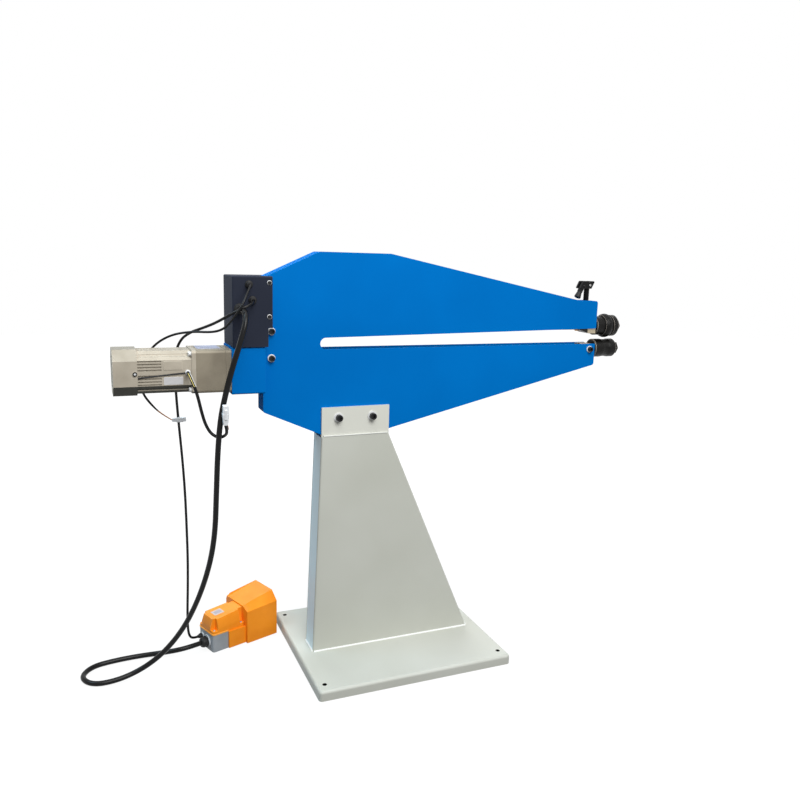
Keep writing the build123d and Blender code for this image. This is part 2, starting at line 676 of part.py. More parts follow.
FIXED_BOLT_R = BLOCK_BOLT / 2 + SEAT_FIT
lower_rear_bearing = bearing_block(
    REAR_BLOCK_X, REAR_BLOCK_LENGTH, LOWER_AXIS_Z, FRAME_GAP / 2, BLOCK_BOLT_PLACES[0], FIXED_BOLT_R
)
lower_rear_bearing.part.label = "lower_rear_bearing"
lower_front_bearing = bearing_block(
    FRONT_BLOCK_X, FRONT_BLOCK_LENGTH, LOWER_AXIS_Z, FRAME_GAP / 2, BLOCK_BOLT_PLACES[1], FIXED_BOLT_R
)
lower_front_bearing.part.label = "lower_front_bearing"

# The upper shaft's rear block swings on its two side bolts
SWING_HALF = FRAME_GAP / 2 - SLIDE_FIT
PIVOT_BORE_R = BLOCK_BOLT / 2 + RUN_FIT
upper_rear_bearing = bearing_block(
    REAR_BLOCK_X, REAR_BLOCK_LENGTH, UPPER_AXIS_Z, SWING_HALF, REAR_BOLT_PLACES[1], PIVOT_BORE_R
)
upper_rear_bearing.part.label = "upper_rear_bearing"


def bush_pair(axis_z, places):
    """Plain bushes for one shaft, each given by its rear face and length."""
    with BuildPart() as bushes:
        for rear_x, length in places:
            with BuildSketch(across(rear_x)):
                with Locations((0, axis_z)):
                    Circle(BUSH_R)
                    Circle(SHAFT_R + RUN_FIT, mode=Mode.SUBTRACT)
            extrude(amount=length)
    return bushes


lower_bushes = bush_pair(
    LOWER_AXIS_Z, [(REAR_BLOCK_X, REAR_BLOCK_LENGTH), (FRONT_BLOCK_X, FRONT_BLOCK_LENGTH)]
)
lower_bushes.part.label = "lower_bushes"
upper_bushes = bush_pair(
    UPPER_AXIS_Z, [(REAR_BLOCK_X, REAR_BLOCK_LENGTH), (HEAD_BLOCK_X, HEAD_BLOCK_LENGTH)]
)
upper_bushes.part.label = "upper_bushes"


def block_screws(places):
    """Cap screws with washers from both sides of the frame into the bearing blocks."""
    with BuildPart() as screws:
        for side in (NEAR, FAR):
            washer_y = side * FRAME_HALF
            head_y = side * (FRAME_HALF + BLOCK_WASHER_THICK)
            with BuildSketch(on_side(washer_y)):
                with Locations(*places):
                    Circle(BLOCK_WASHER / 2)
                    Circle(BLOCK_BOLT / 2 + SEAT_FIT, mode=Mode.SUBTRACT)
            extrude(amount=-side * BLOCK_WASHER_THICK)
            with BuildSketch(on_side(head_y)):
                with Locations(*places):
                    Circle(BLOCK_BOLT_HEAD / 2)
            extrude(amount=-side * BLOCK_BOLT_HEAD_HEIGHT)
            with BuildSketch(on_side(head_y - side * BLOCK_WASHER_THICK)):
                with Locations(*places):
                    Circle(BLOCK_BOLT / 2)
            shank = FRAME_PLATE + BLOCK_BOLT_DEPTH - HOLE_PLAY
            extrude(amount=side * shank)
            with BuildSketch(on_side(head_y)):
                with Locations(*places):
                    Circle(BLOCK_BOLT / 2)
            extrude(amount=side * BLOCK_WASHER_THICK)
            with BuildSketch(on_side(head_y + side * BLOCK_BOLT_HEAD_HEIGHT)):
                with Locations(*places):
                    RegularPolygon(BLOCK_BOLT_SOCKET / 2, 6, major_radius=False)
            extrude(amount=side * BLOCK_BOLT_HEAD_HEIGHT / 2, mode=Mode.SUBTRACT)
    return screws


bearing_bolts = block_screws(BLOCK_BOLT_PLACES)
bearing_bolts.part.label = "bearing_bolts"
pivot_bolts = block_screws([REAR_BOLT_PLACES[1]])
pivot_bolts.part.label = "pivot_bolts"

# Upper front bearing: a block that rides between the arm's plates, tapered under its rear end
FOOT_POCKET = FOOT_THICK + 2 * FOOT_LIFT
with BuildPart() as upper_front_bearing:
    head_low_z = UPPER_AXIS_Z - HEAD_BLOCK_BELOW
    with BuildSketch(on_side(SWING_HALF)):
        with BuildLine():
            Polyline(
                (HEAD_BLOCK_X, head_low_z + HEAD_TAPER_RISE),
                (HEAD_BLOCK_X + HEAD_TAPER_LENGTH, head_low_z),
                (HEAD_BLOCK_X + HEAD_BLOCK_LENGTH, head_low_z),
                (HEAD_BLOCK_X + HEAD_BLOCK_LENGTH, HEAD_BLOCK_TOP),
                (HEAD_BLOCK_X, HEAD_BLOCK_TOP),
                close=True,
            )
        make_face()
    extrude(amount=2 * SWING_HALF)
    with BuildSketch(across(HEAD_BLOCK_X)):
        with Locations((0, UPPER_AXIS_Z)):
            Circle(BUSH_R + SEAT_FIT)
    extrude(amount=HEAD_BLOCK_LENGTH, mode=Mode.SUBTRACT)
    with BuildSketch(Plane.XY.offset(HEAD_BLOCK_TOP)):
        with Locations((SCREW_X, 0)):
            Circle(FOOT_DISC / 2 + FOOT_PLAY)
    extrude(amount=-FOOT_POCKET, mode=Mode.SUBTRACT)
upper_front_bearing.part.label = "upper_front_bearing"

# Keeper plate over the screw's foot, slotted so that it slides round the neck
with BuildPart() as lift_cap:
    with BuildSketch(Plane.XY.offset(HEAD_BLOCK_TOP)):
        with Locations((SCREW_X, 0)):
            Rectangle(CAP_LENGTH, 2 * SWING_HALF)
            Circle(SCREW_NECK / 2 + FOOT_PLAY, mode=Mode.SUBTRACT)
        with Locations((SCREW_X - CAP_LENGTH / 2, 0)):
            Rectangle(CAP_LENGTH, SCREW_NECK + 2 * FOOT_PLAY, mode=Mode.SUBTRACT)
    extrude(amount=CAP_THICK)
lift_cap.part.label = "lift_cap"

# Screw foot: turns on the screw and is caught in the head block's pocket
FOOT_Z = HEAD_BLOCK_TOP - FOOT_LIFT - FOOT_THICK
with BuildPart() as screw_foot:
    with BuildSketch(Plane.XY.offset(FOOT_Z)):
        with Locations((SCREW_X, 0)):
            Circle(FOOT_DISC / 2)
    extrude(amount=FOOT_THICK)
    with BuildSketch(Plane.XY.offset(FOOT_Z + FOOT_THICK)):
        with Locations((SCREW_X, 0)):
            Circle(SCREW_NECK / 2 + RUN_FIT)
    extrude(amount=-FOOT_BORE_DEPTH, mode=Mode.SUBTRACT)
screw_foot.part.label = "screw_foot"

NECK_Z = FOOT_Z + FOOT_THICK - FOOT_BORE_DEPTH + FOOT_LIFT
CRANK_Z = NOSE_TOP_Z + SCREW_RISE
with BuildPart() as pressure_screw:
    with BuildSketch(Plane.XY.offset(NECK_Z)):
        with Locations((SCREW_X, 0)):
            Circle(SCREW_NECK / 2)
    extrude(amount=SCREW_NECK_LENGTH)
    with BuildSketch(Plane.XY.offset(NECK_Z + SCREW_NECK_LENGTH)):
        with Locations((SCREW_X, 0)):
            Circle(SCREW / 2)
    extrude(amount=CRANK_Z - NECK_Z - SCREW_NECK_LENGTH)
    with BuildSketch(Plane.XY.offset(CRANK_Z)):
        with Locations((SCREW_X, 0)):
            Circle(SCREW_NECK / 2)
    extrude(amount=CRANK_ARM_THICK - CRANK_NOTCH)
pressure_screw.part.label = "pressure_screw"

# Nut block under the nose strip
with BuildPart() as screw_nut:
    with BuildSketch(Plane.XY.offset(NOSE_TOP_Z - FRAME_STRIP)):
        with Locations((SCREW_X, 0)):
            Rectangle(NUT_LENGTH, FRAME_GAP)
            Circle(SCREW / 2 + RUN_FIT, mode=Mode.SUBTRACT)
    extrude(amount=-NUT_HEIGHT)
screw_nut.part.label = "screw_nut"

# Crank arm: a leaning block on the screw's end, notched on top and forked at the rear for the grip
CRANK_PIN_X = SCREW_X - CRANK_PIN_REAR
CRANK_PIN_Z = CRANK_Z + CRANK_PIN_RISE
with BuildPart() as crank_arm:
    arm_rear_x = SCREW_X - CRANK_ARM_REAR
    arm_front_x = SCREW_X + CRANK_ARM_FRONT
    arm_top_z = CRANK_Z + CRANK_ARM_THICK
    arm_shift = CRANK_ARM_THICK * tan(radians(CRANK_LEAN))
    with BuildSketch(on_side(CRANK_ARM_WIDTH / 2)):
        with BuildLine():
            Polyline(
                (arm_rear_x, CRANK_Z),
                (arm_front_x, CRANK_Z),
                (arm_front_x + arm_shift, arm_top_z),
                (arm_rear_x + arm_shift, arm_top_z),
                close=True,
            )
        make_face()
    extrude(amount=CRANK_ARM_WIDTH)
    fillet(crank_arm.edges().filter_by(Axis.Y), CRANK_EDGE)
    with BuildSketch(Plane.XY.offset(CRANK_Z)):
        with Locations((SCREW_X, 0)):
            Circle(SCREW_NECK / 2 + SEAT_FIT)
        fork_mouth_x = arm_rear_x - CRANK_FORK_PLAY
        fork_floor_x = CRANK_PIN_X + CRANK_TONGUE / 2 + CRANK_FORK_PLAY
        with Locations(((fork_mouth_x + fork_floor_x) / 2, 0)):
            Rectangle(fork_floor_x - fork_mouth_x, CRANK_FORK_GAP)
    extrude(amount=CRANK_ARM_THICK, mode=Mode.SUBTRACT)
    with BuildSketch(on_side(CRANK_ARM_WIDTH / 2)):
        with BuildLine():
            Polyline(
                (SCREW_X - CRANK_NOTCH_HALF, arm_top_z),
                (SCREW_X, arm_top_z - CRANK_NOTCH),
                (SCREW_X + CRANK_NOTCH_HALF, arm_top_z),
                close=True,
            )
        make_face()
    extrude(amount=CRANK_ARM_WIDTH, mode=Mode.SUBTRACT)
    with BuildSketch(on_side(CRANK_ARM_WIDTH / 2)):
        with Locations((CRANK_PIN_X, CRANK_PIN_Z)):
            Circle(CRANK_PIN / 2)
    extrude(amount=CRANK_ARM_WIDTH)
crank_arm.part.label = "crank_arm"

# Folding grip: a tongue on the pin and a turned handle, hanging down and to the rear
GRIP_DIRECTION = (-sin(radians(CRANK_TILT)), 0, -cos(radians(CRANK_TILT)))
GRIP_PLANE = Plane(origin=(CRANK_PIN_X, 0, CRANK_PIN_Z), x_dir=(0, 1, 0), z_dir=GRIP_DIRECTION)
TONGUE_WIDTH = CRANK_FORK_GAP - 2 * HOLE_PLAY
with BuildPart() as crank_grip:
    with BuildSketch(on_side(TONGUE_WIDTH / 2)):
        with Locations((CRANK_PIN_X, CRANK_PIN_Z)):
            Circle(CRANK_TONGUE / 2)
    extrude(amount=TONGUE_WIDTH)
    with BuildSketch(GRIP_PLANE):
        Rectangle(TONGUE_WIDTH, CRANK_TONGUE)
    extrude(amount=CRANK_TONGUE_LENGTH)
    with BuildSketch(GRIP_PLANE.offset(CRANK_TONGUE_LENGTH)):
        Circle(CRANK_GRIP_NECK / 2)
    with BuildSketch(GRIP_PLANE.offset(CRANK_TONGUE_LENGTH + CRANK_GRIP_LENGTH)):
        Circle(CRANK_GRIP / 2)
    loft()
    fillet(crank_grip.edges().filter_by(GeomType.CIRCLE).sort_by(Axis.Z)[0], CRANK_GRIP / 6)
    with BuildSketch(on_side(TONGUE_WIDTH)):
        with Locations((CRANK_PIN_X, CRANK_PIN_Z)):
            Circle(CRANK_PIN / 2 + RUN_FIT)
    extrude(amount=2 * TONGUE_WIDTH, mode=Mode.SUBTRACT)
crank_grip.part.label = "crank_grip"


def turned_shaft(rear_x, axis_z):
    """Shaft from its rear end to the thread that holds its die."""
    with BuildPart() as shaft:
        for start_x, end_x, diameter in (
            (rear_x, DIE_SEAT_X, SHAFT),
            (DIE_SEAT_X, DIE_END_X, DIE_BORE),
            (DIE_END_X, SHAFT_FRONT_X, DIE_THREAD),
        ):
            with BuildSketch(across(start_x)):
                with Locations((0, axis_z)):
                    Circle(diameter / 2)
            extrude(amount=end_x - start_x)
    return shaft


lower_shaft = turned_shaft(COUPLING_MIDDLE_X + SHAFT_END_GAP / 2, LOWER_AXIS_Z)
lower_shaft.part.label = "lower_shaft"
upper_shaft = turned_shaft(GEAR_REAR_X - SHAFT_TAIL, UPPER_AXIS_Z)
upper_shaft.part.label = "upper_shaft"


def involute(angle):
    """Involute function of a pressure angle in radians."""
    return tan(angle) - angle


def tooth_outline():
    """Corner points of one upright gear tooth, from its root to its tip on both flanks."""
    pitch_r = GEAR_MODULE * GEAR_TEETH / 2
    base_r = pitch_r * cos(radians(PRESSURE_ANGLE))
    root_r = pitch_r - 1.25 * GEAR_MODULE
    half_at_pitch = pi / (2 * GEAR_TEETH) - GEAR_BACKLASH / (2 * pitch_r)
    half_at_base = half_at_pitch + involute(radians(PRESSURE_ANGLE))
    flank = [(root_r - GEAR_MODULE / 2, half_at_base)]
    for r in (base_r, pitch_r, (pitch_r + GEAR_TIP_R) / 2, GEAR_TIP_R):
        flank.append((r, half_at_base - involute(acos(base_r / r))))
    right = [(r * sin(a), r * cos(a)) for r, a in flank]
    left = [(-x, y) for x, y in reversed(right)]
    return right + left


def spur_gear(axis_z):
    """Spur gear with a hub towards the frame, one tooth straight up."""
    root_r = GEAR_MODULE * (GEAR_TEETH - 2.5) / 2
    plane = Plane(origin=(GEAR_REAR_X, 0, axis_z), x_dir=(0, 1, 0), z_dir=(1, 0, 0))
    with BuildPart() as gear:
        with BuildSketch(plane):
            Circle(root_r)
            with PolarLocations(0, GEAR_TEETH):
                Polygon(*tooth_outline(), align=None)
        extrude(amount=GEAR_WIDTH)
        with BuildSketch(plane.offset(GEAR_WIDTH)):
            Circle(GEAR_HUB / 2)
        extrude(amount=GEAR_HUB_LENGTH)
        with BuildSketch(plane):
            Circle(SHAFT_R + SEAT_FIT)
        extrude(amount=GEAR_WIDTH + GEAR_HUB_LENGTH, mode=Mode.SUBTRACT)
    return gear


lower_gear = spur_gear(LOWER_AXIS_Z)
lower_gear.part.label = "lower_gear"
upper_gear = spur_gear(UPPER_AXIS_Z)
upper_gear.part.label = "upper_gear"


def die_plane(axis_z):
    """Sketch plane of a die's half section: along the shaft, then out from its axis."""
    return Plane(origin=(DIE_SEAT_X, 0, axis_z), x_dir=(1, 0, 0), z_dir=(0, -1, 0))


BORE_R = DIE_BORE / 2 + SEAT_FIT
RIB_START = DIE_HUB_LENGTH
RIB_END = RIB_START + DIE_RIB_LENGTH
NECK_END = RIB_END + DIE_NECK_LENGTH
RIB_SIDE_R = DIE_NECK_R + DIE_EDGE

# Upper die: hub, crowned rib, neck and collar
with BuildPart() as upper_roller:
    with BuildSketch(die_plane(UPPER_AXIS_Z)):
        with BuildLine():
            Polyline(
                (RIB_START, RIB_SIDE_R),
                (RIB_START, DIE_HUB_R),
                (DIE_EDGE, DIE_HUB_R),
                (0, DIE_HUB_R - DIE_EDGE),
                (0, BORE_R),
                (DIE_LENGTH, BORE_R),
                (DIE_LENGTH, DIE_COLLAR_R - DIE_EDGE),
                (DIE_LENGTH - DIE_EDGE, DIE_COLLAR_R),
                (NECK_END, DIE_COLLAR_R),
                (NECK_END, DIE_NECK_R),
                (RIB_END, DIE_NECK_R),
                (RIB_END, RIB_SIDE_R),
            )
            ThreePointArc((RIB_END, RIB_SIDE_R), ((RIB_START + RIB_END) / 2, DIE_RIB_R), (RIB_START, RIB_SIDE_R))
        make_face()
    revolve(axis=shaft_axis(UPPER_AXIS_Z))
upper_roller.part.label = "upper_roller"

# Lower die: two lands with the groove that takes the rib
LOWER_DIE_R = AXIS_SPACING - DIE_RIB_R - DIE_GAP
with BuildPart() as lower_roller:
    groove_start = RIB_START - DIE_GROOVE_PLAY
    groove_end = RIB_END + DIE_GROOVE_PLAY
    with BuildSketch(die_plane(LOWER_AXIS_Z)):
        with BuildLine():
            Polyline(
                (groove_start, LOWER_DIE_R),
                (DIE_EDGE, LOWER_DIE_R),
                (0, LOWER_DIE_R - DIE_EDGE),
                (0, BORE_R),
                (DIE_LENGTH, BORE_R),
                (DIE_LENGTH, LOWER_DIE_R - DIE_EDGE),
                (DIE_LENGTH - DIE_EDGE, LOWER_DIE_R),
                (groove_end, LOWER_DIE_R),
            )
            ThreePointArc(
                (groove_end, LOWER_DIE_R),
                ((groove_start + groove_end) / 2, LOWER_DIE_R - DIE_GROOVE_DEPTH),
                (groove_start, LOWER_DIE_R),
            )
        make_face()
    revolve(axis=shaft_axis(LOWER_AXIS_Z))
lower_roller.part.label = "lower_roller"


def die_fastener(axis_z):
    """Washer and hexagon nut that hold a die against the shaft's shoulder."""
    with BuildPart() as fastener:
        with BuildSketch(across(DIE_END_X)):
            with Locations((0, axis_z)):
                Circle(DIE_WASHER / 2)
                Circle(DIE_THREAD / 2 + SEAT_FIT, mode=Mode.SUBTRACT)
        extrude(amount=DIE_WASHER_THICK)
        with BuildSketch(across(DIE_END_X + DIE_WASHER_THICK)):
            with Locations((0, axis_z)):
                RegularPolygon(DIE_NUT / 2, 6, major_radius=False)
                Circle(DIE_THREAD / 2 + SEAT_FIT, mode=Mode.SUBTRACT)
        extrude(amount=DIE_NUT_HEIGHT)
    return fastener


lower_die_nut = die_fastener(LOWER_AXIS_Z)
lower_die_nut.part.label = "lower_die_nut"
upper_die_nut = die_fastener(UPPER_AXIS_Z)
upper_die_nut.part.label = "upper_die_nut"

# Sleeve coupling between the gearbox and the lower shaft
with BuildPart() as drive_coupling:
    with BuildSketch(across(COUPLING_REAR_X)):
        with Locations((0, LOWER_AXIS_Z)):
            Circle(COUPLING / 2)
            Circle(OUTPUT_SHAFT / 2 + SEAT_FIT, mode=Mode.SUBTRACT)
    extrude(amount=COUPLING_LENGTH)
    with BuildSketch(across(COUPLING_MIDDLE_X)):
        with Locations((0, LOWER_AXIS_Z)):
            Circle(SHAFT_R + SEAT_FIT)
    extrude(amount=COUPLING_LENGTH / 2, mode=Mode.SUBTRACT)
drive_coupling.part.label = "drive_coupling"

with BuildPart() as gearbox_shaft:
    with BuildSketch(across(COUPLING_MIDDLE_X - SHAFT_END_GAP / 2)):
        with Locations((0, LOWER_AXIS_Z)):
            Circle(OUTPUT_SHAFT / 2)
    extrude(amount=MOUNT_REAR_X - OUTPUT_DEPTH + HOLE_PLAY - COUPLING_MIDDLE_X + SHAFT_END_GAP / 2)
gearbox_shaft.part.label = "gearbox_shaft"

TIE_PLACES = [
    (y * TIE_BOLT_OFFSET, MOTOR_Z + z * TIE_BOLT_OFFSET) for y in (NEAR, FAR) for z in (-1, 1)
]

# Motor mount: a welded box behind the frame, open on top for the gears
with BuildPart() as motor_mount_box:
    mount_height = MOUNT_TOP_Z - MOUNT_BOTTOM_Z
    mount_middle_z = (MOUNT_TOP_Z + MOUNT_BOTTOM_Z) / 2
    with BuildSketch(across(MOUNT_REAR_X)):
        with Locations((0, mount_middle_z)):
            RectangleRounded(MOUNT_WIDTH, mount_height, MOUNT_CORNER)
    extrude(amount=MOUNT_LENGTH)
    with BuildSketch(across(MOUNT_REAR_X + MOUNT_PLATE)):
        with Locations((0, mount_middle_z)):
            Rectangle(MOUNT_WIDTH - 2 * MOUNT_WALL, mount_height - 2 * MOUNT_WALL)
    extrude(amount=MOUNT_LENGTH - MOUNT_PLATE - MOUNT_WALL, mode=Mode.SUBTRACT)
    with BuildSketch(across(MOUNT_REAR_X)):
        with Locations((0, LOWER_AXIS_Z)):
            Circle(PILOT / 2 + SEAT_FIT)
        with Locations(*TIE_PLACES):
            Circle(TIE_BOLT / 2 + HOLE_PLAY)
    extrude(amount=MOUNT_PLATE, mode=Mode.SUBTRACT)
    with BuildSketch(across(FRAME_REAR_X)):
        with Locations((0, LOWER_AXIS_Z)):
            Circle(BUSH_R)
    extrude(amount=-MOUNT_WALL, mode=Mode.SUBTRACT)
    window_front_x = FRAME_REAR_X - MOUNT_WALL
    window_rear_x = GEAR_REAR_X - GEAR_TO_FRAME / 2
    with BuildSketch(Plane.XY.offset(MOUNT_TOP_Z)):
        with Locations(((window_front_x + window_rear_x) / 2, 0)):
            Rectangle(window_front_x - window_rear_x, 2 * GEAR_TIP_R + GEAR_TO_FRAME)
    extrude(amount=-MOUNT_WALL, mode=Mode.SUBTRACT)
motor_mount_box.part.label = "motor_mount_box"

# Gearbox: square housing with a seam, a pilot round the output shaft and four tie holes
with BuildPart() as gearbox:
    with BuildSketch(across(MOUNT_REAR_X)):
        with Locations((0, MOTOR_Z)):
            RectangleRounded(MOTOR_SIZE, MOTOR_SIZE, GEARBOX_CORNER)
    extrude(amount=-GEARBOX_LENGTH)
    with BuildSketch(across(MOUNT_REAR_X - GEARBOX_SEAM_FROM_FACE)):
        with Locations((0, MOTOR_Z)):
            RectangleRounded(MOTOR_SIZE, MOTOR_SIZE, GEARBOX_CORNER)
            Rectangle(MOTOR_SIZE - 2 * GEARBOX_SEAM, MOTOR_SIZE - 2 * GEARBOX_SEAM, mode=Mode.SUBTRACT)
    extrude(amount=-GEARBOX_SEAM, mode=Mode.SUBTRACT)
    with BuildSketch(across(MOUNT_REAR_X)):
        with Locations((0, LOWER_AXIS_Z)):
            Circle(PILOT / 2)
    extrude(amount=PILOT_LENGTH)
    with BuildSketch(across(MOUNT_REAR_X + PILOT_LENGTH)):
        with Locations((0, LOWER_AXIS_Z)):
            Circle(OUTPUT_SHAFT / 2 + RUN_FIT)
    extrude(amount=-PILOT_LENGTH - OUTPUT_DEPTH, mode=Mode.SUBTRACT)
    with BuildSketch(across(MOUNT_REAR_X)):
        with Locations(*TIE_PLACES):
            Circle(TIE_BOLT / 2 + HOLE_PLAY)
    extrude(amount=-GEARBOX_LENGTH, mode=Mode.SUBTRACT)
gearbox.part.label = "gearbox"

# Motor: square flange, chamfered body with cooling grooves and a spigot for the fan cover
SPIGOT_R = FAN_COVER_SIZE / 2 - FAN_COVER_SHEET - SLIDE_FIT
FIN_PLACES = [
    half * (FIN_FIRST + step * FIN_PITCH) for half in (-1, 1) for step in range(FIN_COUNT)
]
with BuildPart() as motor_body:
    with BuildSketch(across(FLANGE_REAR_X)):
        with Locations((0, MOTOR_Z)):
            RectangleRounded(MOTOR_SIZE, MOTOR_SIZE, GEARBOX_CORNER)
        with Locations(*TIE_PLACES):
            Circle(TIE_BOLT / 2 + HOLE_PLAY, mode=Mode.SUBTRACT)
    extrude(amount=FLANGE_THICK)
    with BuildSketch(across(FLANGE_REAR_X)):
        with Locations((0, MOTOR_Z)):
            body_square = Rectangle(BODY_SIZE, BODY_SIZE)
        chamfer(body_square.vertices(), BODY_CHAMFER)
        with Locations(*TIE_PLACES):
            Circle(TIE_BOLT_HEAD / 2 + HOLE_PLAY, mode=Mode.SUBTRACT)
    extrude(amount=-BODY_LENGTH)
    with BuildSketch(across(BODY_REAR_X)):
        with Locations((0, MOTOR_Z)):
            Circle(SPIGOT_R)
    extrude(amount=-SPIGOT_LENGTH)
    with BuildSketch(across(BODY_REAR_X)):
        for groove in FIN_PLACES:
            with Locations((0, MOTOR_Z + groove)):
                Rectangle(BODY_SIZE, FIN_GROOVE)
            with Locations((groove, MOTOR_Z)):
                Rectangle(FIN_GROOVE, BODY_SIZE)
        with Locations((0, MOTOR_Z)):
            Rectangle(BODY_SIZE - 2 * FIN_DEPTH, BODY_SIZE - 2 * FIN_DEPTH, mode=Mode.SUBTRACT)
    extrude(amount=FIN_LENGTH, mode=Mode.SUBTRACT)
    with BuildSketch(across(BODY_REAR_X - SPIGOT_LENGTH)):
        with Locations((0, MOTOR_Z)):
            Circle(ROTOR_SHAFT / 2 + RUN_FIT)
    extrude(amount=ROTOR_DEPTH, mode=Mode.SUBTRACT)
    with BuildSketch(on_side(-BODY_SIZE / 2)):
        with Locations((MOTOR_LEAD_X, MOTOR_Z)):
            Circle(MOTOR_LEAD / 2 + SEAT_FIT)
    extrude(amount=-MOTOR_GROMMET_LENGTH, mode=Mode.SUBTRACT)
motor_body.part.label = "motor_body"

# Fan cover: chamfered sheet cap, screwed to the body's spigot from both sides
with BuildPart() as fan_cover:
    with BuildSketch(across(BODY_REAR_X)):
        with Locations((0, MOTOR_Z)):
            cover_square = Rectangle(FAN_COVER_SIZE, FAN_COVER_SIZE)
        chamfer(cover_square.vertices(), FAN_COVER_CHAMFER)
    extrude(amount=-FAN_COVER_LENGTH)
    offset(amount=-FAN_COVER_SHEET, openings=fan_cover.faces().sort_by(Axis.X)[-1])
    for side in (NEAR, FAR):
        with BuildSketch(on_side(side * FAN_COVER_SIZE / 2)):
            with Locations((BODY_REAR_X - SPIGOT_LENGTH / 2, MOTOR_Z)):
                Circle(SMALL_SCREW / 2 + SEAT_FIT)
        extrude(amount=side * FAN_COVER_SHEET, mode=Mode.SUBTRACT)
fan_cover.part.label = "fan_cover"

# Cooling fan on the motor's rear shaft
FAN_REAR_X = FAN_COVER_REAR_X + FAN_COVER_SHEET + FAN_GAP
with BuildPart() as cooling_fan:
    fan_plane = Plane(origin=(FAN_REAR_X, 0, MOTOR_Z), x_dir=(0, 1, 0), z_dir=(1, 0, 0))
    with BuildSketch(fan_plane):
        Circle(FAN_HUB_R)
        with PolarLocations(0, FAN_BLADES):
            with Locations((FAN_R / 2, 0)):
                Rectangle(FAN_R, FAN_BLADE_THICK)
    extrude(amount=FAN_WIDTH)
    with BuildSketch(fan_plane.offset(FAN_WIDTH)):
        Circle(FAN_R)
    extrude(amount=FAN_BLADE_THICK)
    with BuildSketch(fan_plane.offset(FAN_WIDTH)):
        Circle(ROTOR_SHAFT / 2)
    rotor_end_x = BODY_REAR_X - SPIGOT_LENGTH + ROTOR_DEPTH - HOLE_PLAY
    extrude(amount=rotor_end_x - FAN_REAR_X - FAN_WIDTH)
cooling_fan.part.label = "cooling_fan"

# Tie bolts through flange, gearbox and mount plate, and the fan cover's side screws
with BuildPart() as motor_screws:
    with BuildSketch(across(FLANGE_REAR_X)):
        with Locations(*TIE_PLACES):
            Circle(TIE_BOLT_HEAD / 2)
    extrude(amount=-TIE_BOLT_HEAD_HEIGHT)
    with BuildSketch(across(FLANGE_REAR_X - TIE_BOLT_HEAD_HEIGHT)):
        with Locations(*TIE_PLACES):
            RegularPolygon(TIE_BOLT / 2, 6, major_radius=False)
    extrude(amount=TIE_BOLT_HEAD_HEIGHT / 2, mode=Mode.SUBTRACT)
    with BuildSketch(across(FLANGE_REAR_X)):
        with Locations(*TIE_PLACES):
            Circle(TIE_BOLT / 2)
    extrude(amount=FLANGE_THICK + GEARBOX_LENGTH + MOUNT_PLATE)
    for side in (NEAR, FAR):
        with BuildSketch(on_side(side * FAN_COVER_SIZE / 2)):
            with Locations((BODY_REAR_X - SPIGOT_LENGTH / 2, MOTOR_Z)):
                Circle(SMALL_SCREW_HEAD / 2)
        extrude(amount=-side * SMALL_SCREW_HEAD_HEIGHT)
        with BuildSketch(on_side(side * FAN_COVER_SIZE / 2)):
            with Locations((BODY_REAR_X - SPIGOT_LENGTH / 2, MOTOR_Z)):
                Circle(SMALL_SCREW / 2)
        extrude(amount=side * FAN_COVER_SHEET)
motor_screws.part.label = "motor_screws"

# Glands on the cover's near wall: place, and the cable that each one takes
NEAR_GLANDS = [
    (COVER_REAR_X + PEDAL_GLAND_FROM_REAR, COVER_TOP_Z - PEDAL_GLAND_FROM_TOP, PEDAL_CABLE),
    (COVER_REAR_X + SIGNAL_GLAND_FROM_REAR, COVER_TOP_Z - SIGNAL_GLAND_FROM_TOP, SIGNAL_CABLE),
    (COVER_REAR_X + TACHO_GLAND_FROM_REAR, COVER_TOP_Z - TACHO_GLAND_FROM_TOP, TACHO_CABLE),
]
KNOB_Z = COVER_TOP_Z - KNOB_FROM_TOP
SELECTOR_Z = COVER_TOP_Z - SELECTOR_FROM_TOP
COVER_SCREW_PLACES = [
    (COVER_SCREW_X, COVER_SCREW_Z),
    (COVER_SCREW_X, COVER_SCREW_Z - COVER_SCREW_SPACING),
]

